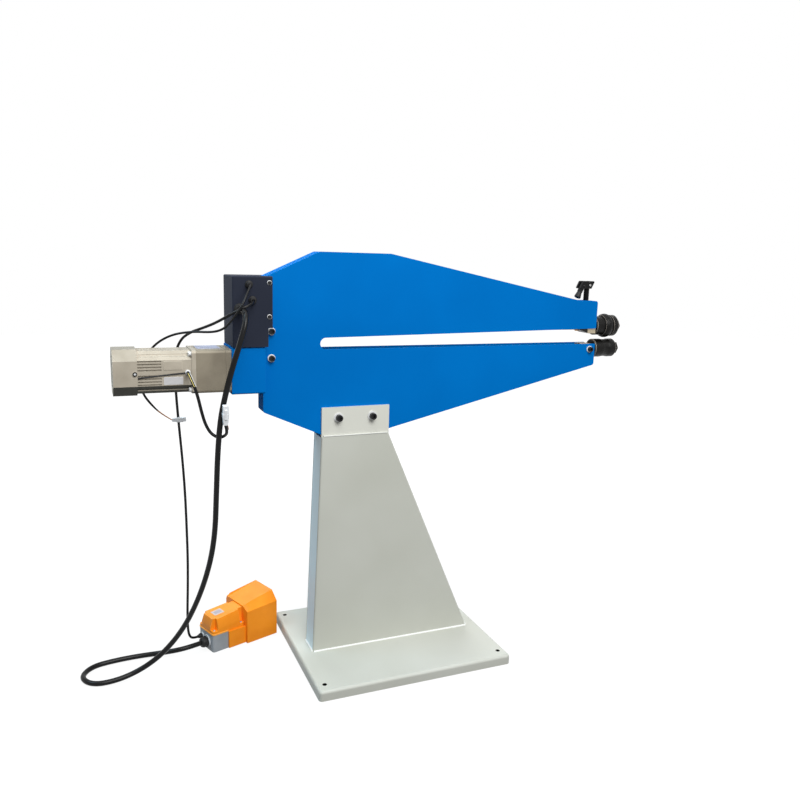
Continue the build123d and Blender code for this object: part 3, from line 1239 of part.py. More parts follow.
# Control cover: sheet hood over the upper gear and the motor's controller
with BuildPart() as control_cover:
    cover_length = COVER_FRONT_X - COVER_REAR_X
    cover_height = COVER_TOP_Z - COVER_BOTTOM_Z
    cover_middle_x = (COVER_FRONT_X + COVER_REAR_X) / 2
    with BuildSketch(Plane.XY.offset(COVER_BOTTOM_Z)):
        with Locations((cover_middle_x, 0)):
            Rectangle(cover_length, COVER_WIDTH)
    extrude(amount=cover_height)
    fillet(control_cover.edges().filter_by(Axis.Z).group_by(Axis.X)[0], COVER_BEND)
    top_edges = control_cover.faces().sort_by(Axis.Z)[-1].edges().sort_by(Axis.X)[:-1]
    fillet(top_edges, COVER_BEND)
    with BuildSketch(Plane.XY.offset(COVER_BOTTOM_Z)):
        with Locations((cover_middle_x + COVER_SHEET, 0)):
            Rectangle(cover_length, 2 * COVER_INSIDE)
    extrude(amount=cover_height - COVER_SHEET, mode=Mode.SUBTRACT)
    with BuildSketch(Plane.XY.offset(COVER_TOP_Z)):
        with Locations((COVER_FRONT_X, 0)):
            Rectangle(2 * (COVER_LAP + SLIDE_FIT), 2 * (FRAME_HALF + SLIDE_FIT))
    extrude(amount=-COVER_SHEET, mode=Mode.SUBTRACT)
    for side in (NEAR, FAR):
        with BuildSketch(on_side(side * COVER_HALF)):
            with Locations((COVER_FRONT_X, COVER_BOTTOM_Z)):
                Rectangle(2 * COVER_NOTCH_LENGTH, 2 * COVER_NOTCH_HEIGHT)
            with Locations(*COVER_SCREW_PLACES):
                Circle(SMALL_SCREW / 2 + SEAT_FIT)
        extrude(amount=side * COVER_SHEET, mode=Mode.SUBTRACT)
    with BuildSketch(on_side(-COVER_HALF)):
        for x, z, cable in NEAR_GLANDS:
            with Locations((x, z)):
                Circle(cable / 2 + GLAND_WALL / 2)
    extrude(amount=-COVER_SHEET, mode=Mode.SUBTRACT)
    with BuildSketch(on_side(COVER_HALF)):
        with Locations((KNOB_X, KNOB_Z), (KNOB_X, SELECTOR_Z)):
            Circle(SPINDLE / 2 + HOLE_PLAY)
    extrude(amount=COVER_SHEET, mode=Mode.SUBTRACT)
control_cover.part.label = "control_cover"

# Chassis behind the frame: shelf over the gear, upright web and two ears for the cover
with BuildPart() as control_chassis:
    web_front_x = FRAME_REAR_X
    web_rear_x = FRAME_REAR_X - CHASSIS_SHEET
    with BuildSketch(across(web_rear_x)):
        with Locations((0, (SHELF_Z + CHASSIS_TOP_Z) / 2)):
            Rectangle(2 * COVER_INSIDE, CHASSIS_TOP_Z - SHELF_Z)
    extrude(amount=CHASSIS_SHEET)
    shelf_rear_x = COVER_REAR_X + COVER_SHEET + CHASSIS_REAR_GAP
    with BuildSketch(Plane.XY.offset(SHELF_Z)):
        with Locations(((shelf_rear_x + web_front_x) / 2, 0)):
            Rectangle(web_front_x - shelf_rear_x, 2 * COVER_INSIDE)
    extrude(amount=CHASSIS_SHEET)
    ear_bottom_z = COVER_SCREW_PLACES[1][1] - CHASSIS_EAR_BELOW
    for side in (NEAR, FAR):
        with BuildSketch(on_side(side * COVER_INSIDE)):
            ear_front_x = COVER_FRONT_X - COVER_SHEET
            with Locations(((web_rear_x + ear_front_x) / 2, (ear_bottom_z + CHASSIS_TOP_Z) / 2)):
                Rectangle(ear_front_x - web_rear_x, CHASSIS_TOP_Z - ear_bottom_z)
            with Locations(*COVER_SCREW_PLACES):
                Circle(SMALL_SCREW / 2 + SEAT_FIT, mode=Mode.SUBTRACT)
        extrude(amount=side * CHASSIS_SHEET)
control_chassis.part.label = "control_chassis"

# Button-head screws through the cover into the chassis ears
with BuildPart() as cover_screws:
    for side in (NEAR, FAR):
        with BuildSketch(on_side(side * COVER_HALF)):
            with Locations(*COVER_SCREW_PLACES):
                Circle(SMALL_SCREW_HEAD / 2)
        extrude(amount=-side * SMALL_SCREW_HEAD_HEIGHT)
        with BuildSketch(on_side(side * COVER_HALF)):
            with Locations(*COVER_SCREW_PLACES):
                Circle(SMALL_SCREW / 2)
        extrude(amount=side * (COVER_SHEET + CHASSIS_SHEET))
cover_screws.part.label = "cover_screws"

# Speed controller behind the far wall, on the shelf
with BuildPart() as speed_controller:
    with BuildSketch(Plane.XY.offset(SHELF_Z + CHASSIS_SHEET)):
        controller_x = COVER_REAR_X + CONTROLLER_FROM_REAR + CONTROLLER_LENGTH / 2
        with Locations((controller_x, COVER_INSIDE - CONTROLLER_DEPTH / 2)):
            Rectangle(CONTROLLER_LENGTH, CONTROLLER_DEPTH)
    extrude(amount=CONTROLLER_HEIGHT)
    with BuildSketch(on_side(COVER_INSIDE)):
        with Locations((KNOB_X, KNOB_Z), (KNOB_X, SELECTOR_Z)):
            Circle(SPINDLE / 2 + RUN_FIT)
    extrude(amount=SPINDLE_DEPTH, mode=Mode.SUBTRACT)
speed_controller.part.label = "speed_controller"

SPINDLE_LENGTH = COVER_SHEET + SPINDLE_DEPTH - HOLE_PLAY

# Speed knob with a pointer flat, on the far wall
with BuildPart() as speed_knob:
    with BuildSketch(on_side(COVER_HALF + KNOB_GAP)):
        with Locations((KNOB_X, KNOB_Z)):
            Circle(KNOB / 2)
    extrude(amount=-KNOB_HEIGHT, taper=4)
    with BuildSketch(on_side(COVER_HALF + KNOB_GAP + KNOB_HEIGHT)):
        with Locations((KNOB_X, KNOB_Z + KNOB / 4)):
            Rectangle(SPINDLE / 3, KNOB / 2)
    extrude(amount=SPINDLE / 4, mode=Mode.SUBTRACT)
    with BuildSketch(on_side(COVER_HALF + KNOB_GAP)):
        with Locations((KNOB_X, KNOB_Z)):
            Circle(SPINDLE / 2)
    extrude(amount=KNOB_GAP + SPINDLE_LENGTH)
speed_knob.part.label = "speed_knob"

# Three-way direction selector with a grip ridge
with BuildPart() as direction_selector:
    with BuildSketch(on_side(COVER_HALF + KNOB_GAP)):
        with Locations((KNOB_X, SELECTOR_Z)):
            Circle(SELECTOR / 2)
    extrude(amount=-SELECTOR_HEIGHT)
    with BuildSketch(on_side(COVER_HALF + KNOB_GAP + SELECTOR_HEIGHT)):
        with Locations((KNOB_X, SELECTOR_Z)):
            SlotOverall(SELECTOR - 2 * KNOB_GAP, SELECTOR_RIDGE, rotation=90)
    extrude(amount=-SELECTOR_HEIGHT)
    with BuildSketch(on_side(COVER_HALF + KNOB_GAP)):
        with Locations((KNOB_X, SELECTOR_Z)):
            Circle(SPINDLE / 2)
    extrude(amount=KNOB_GAP + SPINDLE_LENGTH)
direction_selector.part.label = "direction_selector"

# Cable glands on the near wall and the grommet in the motor
with BuildPart() as cable_glands:
    for x, z, cable in NEAR_GLANDS:
        neck_r = cable / 2 + GLAND_WALL / 2 - SEAT_FIT
        with BuildSketch(on_side(-COVER_HALF)):
            with Locations((x, z)):
                Circle(cable / 2 + GLAND_WALL + GLAND_SLOPE)
        with BuildSketch(on_side(-COVER_HALF - GLAND_LENGTH)):
            with Locations((x, z)):
                Circle(cable / 2 + GLAND_WALL)
        loft()
        with BuildSketch(on_side(-COVER_HALF)):
            with Locations((x, z)):
                Circle(neck_r)
        extrude(amount=-COVER_SHEET)
    with BuildSketch(on_side(-BODY_SIZE / 2)):
        with Locations((MOTOR_LEAD_X, MOTOR_Z)):
            Circle(MOTOR_LEAD / 2 + GLAND_WALL / 2)
    extrude(amount=MOTOR_GROMMET_LENGTH)
    with BuildSketch(on_side(-BODY_SIZE / 2)):
        with Locations((MOTOR_LEAD_X, MOTOR_Z)):
            Circle(MOTOR_LEAD / 2)
    extrude(amount=-MOTOR_GROMMET_LENGTH)
cable_glands.part.label = "cable_glands"

# Foot switch: cast base with the switch housing, a floor plate on a neck, and treadle ears
PIN_U = SWITCH_LENGTH + TREADLE_PIN_FROM_SWITCH
HOOD_START = SWITCH_LENGTH + HOLE_PLAY
FLOOR_START = HOOD_START + HOOD_WALL + HOLE_PLAY
NECK_WIDTH = SWITCH_WIDTH - 2 * FLOOR_NECK_INSET
NECK_LENGTH = FLOOR_START - SWITCH_LENGTH + 2 * SWITCH_CORNER
NECK_MIDDLE_U = (SWITCH_LENGTH + FLOOR_START) / 2
with BuildPart() as pedal_base:
    with BuildSketch(pedal_plane(0)):
        with Locations((SWITCH_LENGTH / 2, SWITCH_WIDTH / 2)):
            RectangleRounded(SWITCH_LENGTH, SWITCH_WIDTH, SWITCH_CORNER)
    extrude(amount=SWITCH_HEIGHT)
    with BuildSketch(pedal_plane(0)):
        with Locations(((FLOOR_START + PEDAL_LENGTH) / 2, (HOOD_NEAR_V + HOOD_FAR_V) / 2)):
            Rectangle(PEDAL_LENGTH - FLOOR_START, HOOD_FAR_V - HOOD_NEAR_V - 2 * (HOOD_WALL + HOLE_PLAY))
        with Locations((NECK_MIDDLE_U, SWITCH_WIDTH / 2)):
            Rectangle(NECK_LENGTH, NECK_WIDTH)
    extrude(amount=PEDAL_FLOOR)
    for ear_v in (0, SWITCH_WIDTH):
        inward = 1 if ear_v == 0 else -1
        with BuildSketch(pedal_side(ear_v)):
            with Locations((PIN_U, TREADLE_PIN_Z)):
                Circle(TREADLE_EAR_LENGTH / 2)
            with Locations((PIN_U, TREADLE_PIN_Z / 2)):
                Rectangle(TREADLE_EAR_LENGTH, TREADLE_PIN_Z)
            with Locations((PIN_U, TREADLE_PIN_Z)):
                Circle(TREADLE_PIN / 2 + SEAT_FIT, mode=Mode.SUBTRACT)
        extrude(amount=-inward * TREADLE_EAR)
pedal_base.part.label = "pedal_base"

# Lid over the switch: straight shoulder, then drawn in to a sloping top, with four screw pockets
LID_TOP_Z = SWITCH_HEIGHT + LID_HEIGHT
with BuildPart() as pedal_lid:
    with BuildSketch(pedal_plane(SWITCH_HEIGHT)):
        with Locations((SWITCH_LENGTH / 2, SWITCH_WIDTH / 2)):
            RectangleRounded(SWITCH_LENGTH, SWITCH_WIDTH, SWITCH_CORNER)
    extrude(amount=LID_SHOULDER)
    with BuildSketch(pedal_plane(SWITCH_HEIGHT + LID_SHOULDER)):
        with Locations((SWITCH_LENGTH / 2, SWITCH_WIDTH / 2)):
            RectangleRounded(SWITCH_LENGTH, SWITCH_WIDTH, SWITCH_CORNER)
    with BuildSketch(pedal_plane(LID_TOP_Z + LID_TRIM)):
        with Locations((SWITCH_LENGTH / 2 + LID_INSET / 2, SWITCH_WIDTH / 2)):
            RectangleRounded(SWITCH_LENGTH - LID_INSET, SWITCH_WIDTH - 2 * LID_INSET, SWITCH_CORNER)
    loft(ruled=True)
    with BuildSketch(pedal_side(0)):
        with BuildLine():
            Polyline(
                (0, LID_TOP_Z - LID_FALL),
                (SWITCH_LENGTH, LID_TOP_Z),
                (SWITCH_LENGTH, LID_TOP_Z + 2 * LID_TRIM),
                (0, LID_TOP_Z + 2 * LID_TRIM),
                close=True,
            )
        make_face()
    extrude(amount=-SWITCH_WIDTH, mode=Mode.SUBTRACT)
    with BuildSketch(pedal_plane(SWITCH_HEIGHT + LID_POCKET_FLOOR)):
        with Locations(*[(u, v) for u in (0, SWITCH_LENGTH) for v in (0, SWITCH_WIDTH)]):
            Rectangle(2 * LID_POCKET, 2 * LID_POCKET)
    extrude(amount=LID_HEIGHT, mode=Mode.SUBTRACT)
pedal_lid.part.label = "pedal_lid"


def hood_section(u, side_z, roof_z, wall):
    """Hood's cross section at u, drawn in by a wall thickness on its sides and roof."""
    near_v = HOOD_NEAR_V + wall
    far_v = HOOD_FAR_V - wall
    with BuildSketch(pedal_across(u)) as section:
        with BuildLine():
            Polyline(
                (near_v, HOOD_FOOT),
                (far_v, HOOD_FOOT),
                (far_v, side_z - wall / 2),
                (HOOD_FAR_V - HOOD_FAR_SHOULDER, roof_z - wall),
                (HOOD_NEAR_V + HOOD_SHOULDER, roof_z - wall),
                (near_v, side_z - wall / 2),
                close=True,
            )
        make_face()
    return section.sketch


# Guard hood: rises towards its open end, with skirts beside the switch, and straddles the neck
with BuildPart() as pedal_hood:
    rear_section = hood_section(HOOD_START, HOOD_SIDE_REAR, HOOD_ROOF_REAR, 0)
    front_section = hood_section(PEDAL_LENGTH, HOOD_SIDE_FRONT, HOOD_ROOF_FRONT, 0)
    loft([rear_section.face(), front_section.face()])
    rear_inside = hood_section(HOOD_START + HOOD_WALL, HOOD_SIDE_REAR, HOOD_ROOF_REAR, HOOD_WALL)
    front_inside = hood_section(PEDAL_LENGTH, HOOD_SIDE_FRONT, HOOD_ROOF_FRONT, HOOD_WALL)
    loft([rear_inside.face(), front_inside.face()], mode=Mode.SUBTRACT)
    skirt_start = SWITCH_LENGTH - SKIRT_LENGTH
    for skirt_v in (-SKIRT_THICK / 2 - HOLE_PLAY, SWITCH_WIDTH + SKIRT_THICK / 2 + HOLE_PLAY):
        with BuildSketch(pedal_plane(HOOD_FOOT)):
            with Locations(((skirt_start + HOOD_START + HOOD_WALL) / 2, skirt_v)):
                Rectangle(HOOD_START + HOOD_WALL - skirt_start, SKIRT_THICK)
        extrude(amount=SKIRT_HEIGHT - HOOD_FOOT)
    with BuildSketch(pedal_plane(0)):
        with Locations((NECK_MIDDLE_U, SWITCH_WIDTH / 2)):
            Rectangle(NECK_LENGTH, NECK_WIDTH + 2 * HOLE_PLAY)
    extrude(amount=PEDAL_FLOOR, mode=Mode.SUBTRACT)
pedal_hood.part.label = "pedal_hood"

# Treadle: hinge barrel and a ribbed plate that reaches towards the open end
TREADLE_WIDTH = SWITCH_WIDTH - 2 * (TREADLE_EAR + TREADLE_EAR_PLAY)
TREADLE_NEAR_V = TREADLE_EAR + TREADLE_EAR_PLAY
TREADLE_END_U = PEDAL_LENGTH - TREADLE_END_GAP
with BuildPart() as treadle:
    plate_top_z = TREADLE_PIN_Z + TREADLE_BARREL / 2
    with BuildSketch(pedal_side(TREADLE_NEAR_V)):
        with Locations((PIN_U, TREADLE_PIN_Z)):
            Circle(TREADLE_BARREL / 2)
        with Locations(((PIN_U + TREADLE_END_U) / 2, plate_top_z - TREADLE_THICK / 2)):
            Rectangle(TREADLE_END_U - PIN_U, TREADLE_THICK)
        rib_pitch = (TREADLE_END_U - PIN_U) / (TREADLE_RIB_COUNT + 1)
        for rib in range(1, TREADLE_RIB_COUNT + 1):
            with Locations((PIN_U + rib * rib_pitch, plate_top_z)):
                Rectangle(2 * TREADLE_RIB, TREADLE_RIB)
        with Locations((PIN_U, TREADLE_PIN_Z)):
            Circle(TREADLE_PIN / 2 + RUN_FIT, mode=Mode.SUBTRACT)
    extrude(amount=-TREADLE_WIDTH)
treadle.part.label = "treadle"

with BuildPart() as treadle_pin:
    with BuildSketch(pedal_side(0)):
        with Locations((PIN_U, TREADLE_PIN_Z)):
            Circle(TREADLE_PIN / 2)
    extrude(amount=-SWITCH_WIDTH)
treadle_pin.part.label = "treadle_pin"

# Cable entries in the rear face of the switch housing
with BuildPart() as pedal_glands:
    for v, z, length, cable in (
        (PEDAL_GLAND_V, PEDAL_GLAND_Z, PEDAL_GLAND_LENGTH, PEDAL_CABLE),
        (SIGNAL_ENTRY_V, SIGNAL_ENTRY_Z, SIGNAL_ENTRY_LENGTH, SIGNAL_CABLE),
    ):
        with BuildSketch(pedal_across(0)):
            with Locations((v, z)):
                Circle(cable / 2 + GLAND_WALL + GLAND_SLOPE)
        with BuildSketch(pedal_across(-length)):
            with Locations((v, z)):
                Circle(cable / 2 + GLAND_WALL)
        loft()
pedal_glands.part.label = "pedal_glands"


def entry_point(v, z, length, back):
    """Point behind a cable entry of the foot switch, on its axis."""
    return tuple(pedal_plane(0).from_local_coords((-length - back, v, z)))


def gland_point(gland, out):
    """Point in front of a gland of the control cover, on its axis."""
    x, z, _ = gland
    return (x, -COVER_HALF - GLAND_LENGTH - out, z)


def corner_radii(points):
    """Largest arc for each corner of a route: 0.45 of the shorter run over tan(half turn)."""
    radii = []
    for before, corner, after in zip(points, points[1:], points[2:]):
        run_in = Vector(*corner) - Vector(*before)
        run_out = Vector(*after) - Vector(*corner)
        half_turn = radians(run_in.get_angle(run_out)) / 2
        radii.append(0.45 * min(run_in.length, run_out.length) / tan(half_turn))
    return radii


def cord_tube(name, points, diameter):
    """Round tube along straight runs joined by tangent arcs."""
    radii = corner_radii(points)
    with BuildPart() as tube:
        with BuildLine() as route:
            FilletPolyline(*points, radius=radii)
        with BuildSketch(Plane(origin=route.wire() @ 0, z_dir=route.wire() % 0)):
            Circle(diameter / 2)
        sweep()
    expected = pi * diameter**2 / 4 * route.wire().length
    print(f"{name}: length {route.wire().length:.0f}, least radius {min(radii):.0f}, "
          f"volume {tube.part.volume / expected:.4f} of section times length")
    tube.part.label = name
    return tube


# Thick cable from the control cover down to the floor, round a loop and into the foot switch
PEDAL_CABLE_FLOOR_Z = PEDAL_CABLE / 2 + CABLE_REST
PEDAL_CABLE_ROUTE = [
    gland_point(NEAR_GLANDS[0], 0),
    gland_point(NEAR_GLANDS[0], 38),
    (-448, -144, 978),
    (-457, -149, 935),
    (-475, -147, 880),
    (-496, -141, 812),
    (-509, -133, 740),
    (-516, -123, 650),
    (-520, -112, 540),
    (-525, -97, 440),
    (-538, -78, 350),
    (-563, -48, 250),
    (-600, -10, 150),
    (-648, 22, 70),
    (-704, 40, 22),
    (-765, 29, PEDAL_CABLE_FLOOR_Z),
    (-827, 28, PEDAL_CABLE_FLOOR_Z),
    (-856, 77, PEDAL_CABLE_FLOOR_Z),
    (-827, 125, PEDAL_CABLE_FLOOR_Z),
    (-770, 138, PEDAL_CABLE_FLOOR_Z),
    (-705, 142, PEDAL_CABLE_FLOOR_Z),
    (-650, 134, 10),
    (-602, 111, 22),
    entry_point(PEDAL_GLAND_V, PEDAL_GLAND_Z, PEDAL_GLAND_LENGTH, 34),
    entry_point(PEDAL_GLAND_V, PEDAL_GLAND_Z, PEDAL_GLAND_LENGTH, 0),
]
pedal_cable = cord_tube("pedal_cable", PEDAL_CABLE_ROUTE, PEDAL_CABLE)

# Thin cable over the motor, down behind it and into the foot switch
SIGNAL_CABLE_ROUTE = [
    gland_point(NEAR_GLANDS[1], 0),
    gland_point(NEAR_GLANDS[1], 21),
    (-429, -114, 1024),
    (-452, -115, 1019),
    (-477, -97, 1003),
    (-503, -58, 980),
    (-530, -18, 958),
    (-556, 20, 940),
    (-578, 55, 916),
    (-591, 79, 868),
    (-588, 91, 785),
    (-582, 95, 690),
    (-574, 100, 590),
    (-568, 108, 490),
    (-565, 116, 390),
    (-563, 123, 290),
    (-565, 130, 200),
    (-571, 134, 130),
    (-577, 136, 80),
    (-573, 138, 46),
    entry_point(SIGNAL_ENTRY_V, SIGNAL_ENTRY_Z, SIGNAL_ENTRY_LENGTH, 24),
    entry_point(SIGNAL_ENTRY_V, SIGNAL_ENTRY_Z, SIGNAL_ENTRY_LENGTH, 0),
]
signal_cable = cord_tube("signal_cable", SIGNAL_CABLE_ROUTE, SIGNAL_CABLE)

# Thin cable over the motor, round behind it and forward again to its plug
SMALL_PLUG_END = (-600, 81, 707)
TACHO_CABLE_ROUTE = [
    gland_point(NEAR_GLANDS[2], 0),
    gland_point(NEAR_GLANDS[2], 22),
    (-430, -120, 1053),
    (-443, -132, 1030),
    (-459, -129, 1003),
    (-476, -109, 976),
    (-493, -82, 957),
    (-514, -52, 948),
    (-556, -4, 944),
    (-602, 40, 931),
    (-642, 70, 902),
    (-668, 88, 858),
    (-678, 94, 810),
    (-671, 92, 772),
    (-652, 89, 744),
    (-628, 85, 723),
    SMALL_PLUG_END,
]
tacho_cable = cord_tube("tacho_cable", TACHO_CABLE_ROUTE, TACHO_CABLE)

# Motor lead from its grommet down round a tight loop and up to its plug
GROMMET_FACE_Y = -BODY_SIZE / 2 - MOTOR_GROMMET_LENGTH
PLUG_FOOT = (-495, -143, 734)
MOTOR_LEAD_ROUTE = [
    (MOTOR_LEAD_X, GROMMET_FACE_Y, MOTOR_Z),
    (MOTOR_LEAD_X, GROMMET_FACE_Y - 20, MOTOR_Z),
    (-568, -92, 829),
    (-557, -96, 794),
    (-549, -99, 754),
    (-541, -102, 724),
    (-529, -107, 701),
    (-511, -113, 690),
    (-497, -123, 697),
    (-494, -138, 714),
    PLUG_FOOT,
]
motor_lead = cord_tube("motor_lead", MOTOR_LEAD_ROUTE, MOTOR_LEAD)

# Thin lead clipped along the near side of the motor, from the fan cover to the grommet
FAN_LEAD_Y = -BODY_SIZE / 2 - FAN_LEAD / 2 - HOLE_PLAY
FAN_LEAD_ROUTE = [
    (BODY_REAR_X + HOLE_PLAY, FAN_LEAD_Y, MOTOR_Z - 14),
    (-665, FAN_LEAD_Y, MOTOR_Z - 14.5),
    (-635, FAN_LEAD_Y, MOTOR_Z - 12.5),
    (-608, FAN_LEAD_Y, MOTOR_Z - 7),
    (MOTOR_LEAD_X - MOTOR_LEAD / 2 - GLAND_WALL / 2, FAN_LEAD_Y, MOTOR_Z - 1),
]
fan_lead = cord_tube("fan_lead", FAN_LEAD_ROUTE, FAN_LEAD)

# Plug housings: one upright beside the thick cable, one lying against the thin one
SMALL_PLUG_DIRECTION = Vector(*SMALL_PLUG_END) - Vector(*TACHO_CABLE_ROUTE[-2])
with BuildPart() as lead_plugs:
    lead_direction = Vector(*PLUG_FOOT) - Vector(*MOTOR_LEAD_ROUTE[-2])
    with BuildSketch(Plane(origin=PLUG_FOOT, z_dir=lead_direction)):
        RectangleRounded(PLUG_WIDTH, PLUG_WIDTH, PLUG_WIDTH / 6)
    extrude(amount=PLUG_LENGTH)
    with BuildSketch(Plane(origin=SMALL_PLUG_END, z_dir=SMALL_PLUG_DIRECTION)):
        RectangleRounded(PLUG_SMALL_WIDTH, PLUG_SMALL_WIDTH, PLUG_SMALL_WIDTH / 6)
    extrude(amount=PLUG_SMALL_LENGTH)
lead_plugs.part.label = "lead_plugs"

PIECES = [
    base_plate, stand_near_side, stand_far_side, stand_webs, stand_bolts, bolt_spacers,
    frame_near_plate, frame_far_plate, frame_top_strip, frame_bottom_strip, frame_rear_strip,
    lower_rear_bearing, lower_front_bearing, lower_bushes, bearing_bolts, pivot_bolts, screw_nut,
    motor_mount_box, gearbox, motor_body, fan_cover, motor_screws,
    control_cover, control_chassis, cover_screws, speed_controller, cable_glands,
    lower_shaft, lower_gear, lower_roller, lower_die_nut, drive_coupling, gearbox_shaft,
    upper_shaft, upper_gear, upper_roller, upper_die_nut,
    upper_rear_bearing, upper_front_bearing, upper_bushes, lift_cap,
    pressure_screw, screw_foot, crank_arm, crank_grip,
    cooling_fan, speed_knob, direction_selector,
    pedal_base, pedal_lid, pedal_hood, pedal_glands, treadle, treadle_pin,
    pedal_cable, signal_cable, tacho_cable, motor_lead, fan_lead, lead_plugs,
]
os.makedirs("parts", exist_ok=True)
for piece in PIECES:
    export_step(piece.part, f"parts/{piece.part.label}.step")
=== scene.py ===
# %% [markdown]
# # An electric bead roller
# A bead roller presses grooves into the edge of sheet metal. This one stands on a plate stand, is
# driven by a gear motor behind its frame, and is worked by a hooded foot switch on the floor.
# The CAD model gives every rigid piece its shape and place. This lesson adds the light, the camera,
# the finishes, the free cables and the small forms that a maker would look for up close.

# %% Load the frame
import json
from math import cos, pi, radians, sin

import bmesh
import bpy
from bmesh.types import BMEdge, BMVert
from mathutils import Matrix, Vector


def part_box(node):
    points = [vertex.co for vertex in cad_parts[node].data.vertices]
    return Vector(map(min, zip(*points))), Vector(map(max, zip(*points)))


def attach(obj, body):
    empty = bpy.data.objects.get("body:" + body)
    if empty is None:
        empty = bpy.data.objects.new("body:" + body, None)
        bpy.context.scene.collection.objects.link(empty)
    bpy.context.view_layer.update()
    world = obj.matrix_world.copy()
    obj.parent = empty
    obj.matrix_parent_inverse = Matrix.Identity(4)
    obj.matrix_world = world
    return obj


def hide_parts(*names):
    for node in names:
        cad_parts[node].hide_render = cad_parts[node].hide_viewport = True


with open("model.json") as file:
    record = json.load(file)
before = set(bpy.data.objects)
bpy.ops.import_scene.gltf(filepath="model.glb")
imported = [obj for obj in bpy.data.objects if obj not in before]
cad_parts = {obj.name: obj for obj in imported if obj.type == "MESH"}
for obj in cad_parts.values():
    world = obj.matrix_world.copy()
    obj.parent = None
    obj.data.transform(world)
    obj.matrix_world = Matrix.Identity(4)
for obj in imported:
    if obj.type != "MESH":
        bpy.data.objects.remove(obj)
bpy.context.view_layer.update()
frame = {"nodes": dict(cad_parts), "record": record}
nodes = frame["nodes"]
scene = bpy.context.scene
print("CAD pieces:", len(nodes))

# %% [markdown]
# ## Camera
# The camera stands behind and to the left of the machine, a little above the motor, and looks
# slightly down. Its place and its three angles come from matching straight edges of the machine. A new
# camera looks straight down, so it is rolled, tilted up and turned, in that order. The lens is written
# for a 36 mm sensor, so that 800 pixels of width give the same perspective.

# %% Camera
CAMERA_PLACE = Vector((-0.819, -1.97362, 1.14319))
CAMERA_HEADING = radians(23.04)  # from +Y towards +X
CAMERA_PITCH = radians(10.64)  # below the horizon
CAMERA_ROLL = radians(1.67)

camera_data = bpy.data.cameras.new("camera")
camera_data.sensor_width = 36.0
camera_data.lens = 34.35
camera = bpy.data.objects.new("camera", camera_data)
scene.collection.objects.link(camera)
roll = Matrix.Rotation(CAMERA_ROLL, 4, "Z")
tilt = Matrix.Rotation(pi / 2 - CAMERA_PITCH, 4, "X")
heading = Matrix.Rotation(-CAMERA_HEADING, 4, "Z")
camera.matrix_world = Matrix.Translation(CAMERA_PLACE) @ heading @ tilt @ roll
scene.camera = camera
scene.view_settings.view_transform = "Standard"
print("camera looks along", [round(-x, 3) for x in camera.matrix_world.col[2].xyz])

# %% [markdown]
# ## Surround
# A studio shot on white. The surround is plain white where the camera or a shiny face looks at it, and
# dimmer where it lights the object, so that the background stays white without washing out the paint.
# Looks are made of nodes all through this lesson, so two helpers come first: one sets or links inputs
# of a node, and one adds a node.

# %% Surround
WORLD_FILL = 0.24
WHITE = (1, 1, 1, 1)


def fill(node, inputs):
    """Sets inputs of a node, by label or number, to values, or links them to sockets."""
    for key, value in inputs.items():
        if isinstance(value, bpy.types.NodeSocket):
            node.id_data.links.new(value, node.inputs[key])
        else:
            node.inputs[key].default_value = value
    return node


def add_node(tree, kind, inputs, **settings):
    """Shader node with its settings and its inputs."""
    node = tree.nodes.new("ShaderNode" + kind)
    for key, value in settings.items():
        setattr(node, key, value)
    return fill(node, inputs)


def white_to_the_eye(tree):
    """Mask that is 1 for rays from the camera, from reflections and through glass."""
    path = add_node(tree, "LightPath", {})
    mask = path.outputs["Is Camera Ray"]
    for ray in ("Is Glossy Ray", "Is Transmission Ray"):
        mask = add_node(tree, "Math", {0: mask, 1: path.outputs[ray]}, operation="MAXIMUM").outputs[0]
    return mask


scene.world = bpy.data.worlds.new("studio")
scene.world.use_nodes = True
tree = scene.world.node_tree
level = add_node(tree, "MapRange", {
    "Value": white_to_the_eye(tree), "To Min": WORLD_FILL, "To Max": 1.0,
})
fill(tree.nodes["Background"], {"Color": WHITE, "Strength": level.outputs["Result"]})
print("surround lights the object at", WORLD_FILL)

# %% [markdown]
# ## Floor
# The floor glows white for the camera and for shiny faces, as the surround does. Close to the machine
# it glows a little less, so that the shadow stays, and further out it fades into the surround.

# %% Floor
FLOOR_REACH = 9.0
FLOOR_SHADE = 0.1
FLOOR_GLOW = (0.9, 1.0)  # beside the machine, far away
GLOW_REACH = (0.7, 2.4)

floor_shape = bmesh.new()
bmesh.ops.create_grid(floor_shape, x_segments=1, y_segments=1, size=FLOOR_REACH)
floor_mesh = bpy.data.meshes.new("studio_floor")
floor_shape.to_mesh(floor_mesh)
floor_shape.free()
studio_floor = bpy.data.objects.new("studio_floor", floor_mesh)
scene.collection.objects.link(studio_floor)
floor_paint = bpy.data.materials.new("floor_paint")
floor_paint.use_nodes = True
floor_mesh.materials.append(floor_paint)
tree = floor_paint.node_tree
place = add_node(tree, "TexCoord", {}).outputs["Object"]
distance = add_node(tree, "VectorMath", {0: place}, operation="LENGTH").outputs["Value"]
fade = add_node(tree, "MapRange", {
    "Value": distance, "From Min": GLOW_REACH[0], "From Max": GLOW_REACH[1],
    "To Min": FLOOR_GLOW[0], "To Max": FLOOR_GLOW[1],
})
glow = add_node(tree, "Math", {0: white_to_the_eye(tree), 1: fade.outputs["Result"]},
                operation="MULTIPLY")
fill(tree.nodes["Principled BSDF"], {
    "Base Color": (FLOOR_SHADE, FLOOR_SHADE, FLOOR_SHADE, 1), "Roughness": 0.9,
    "Specular IOR Level": 0.1, "Emission Color": WHITE, "Emission Strength": glow.outputs[0],
})
print("floor reaches", FLOOR_REACH, "m to each side")

# %% [markdown]
# ## Lamps
# One broad lamp hangs high in front, a weaker one overhead and another on the far side. A cool window
# high behind the machine picks out the faces that are turned to the rear.

# %% Lamps


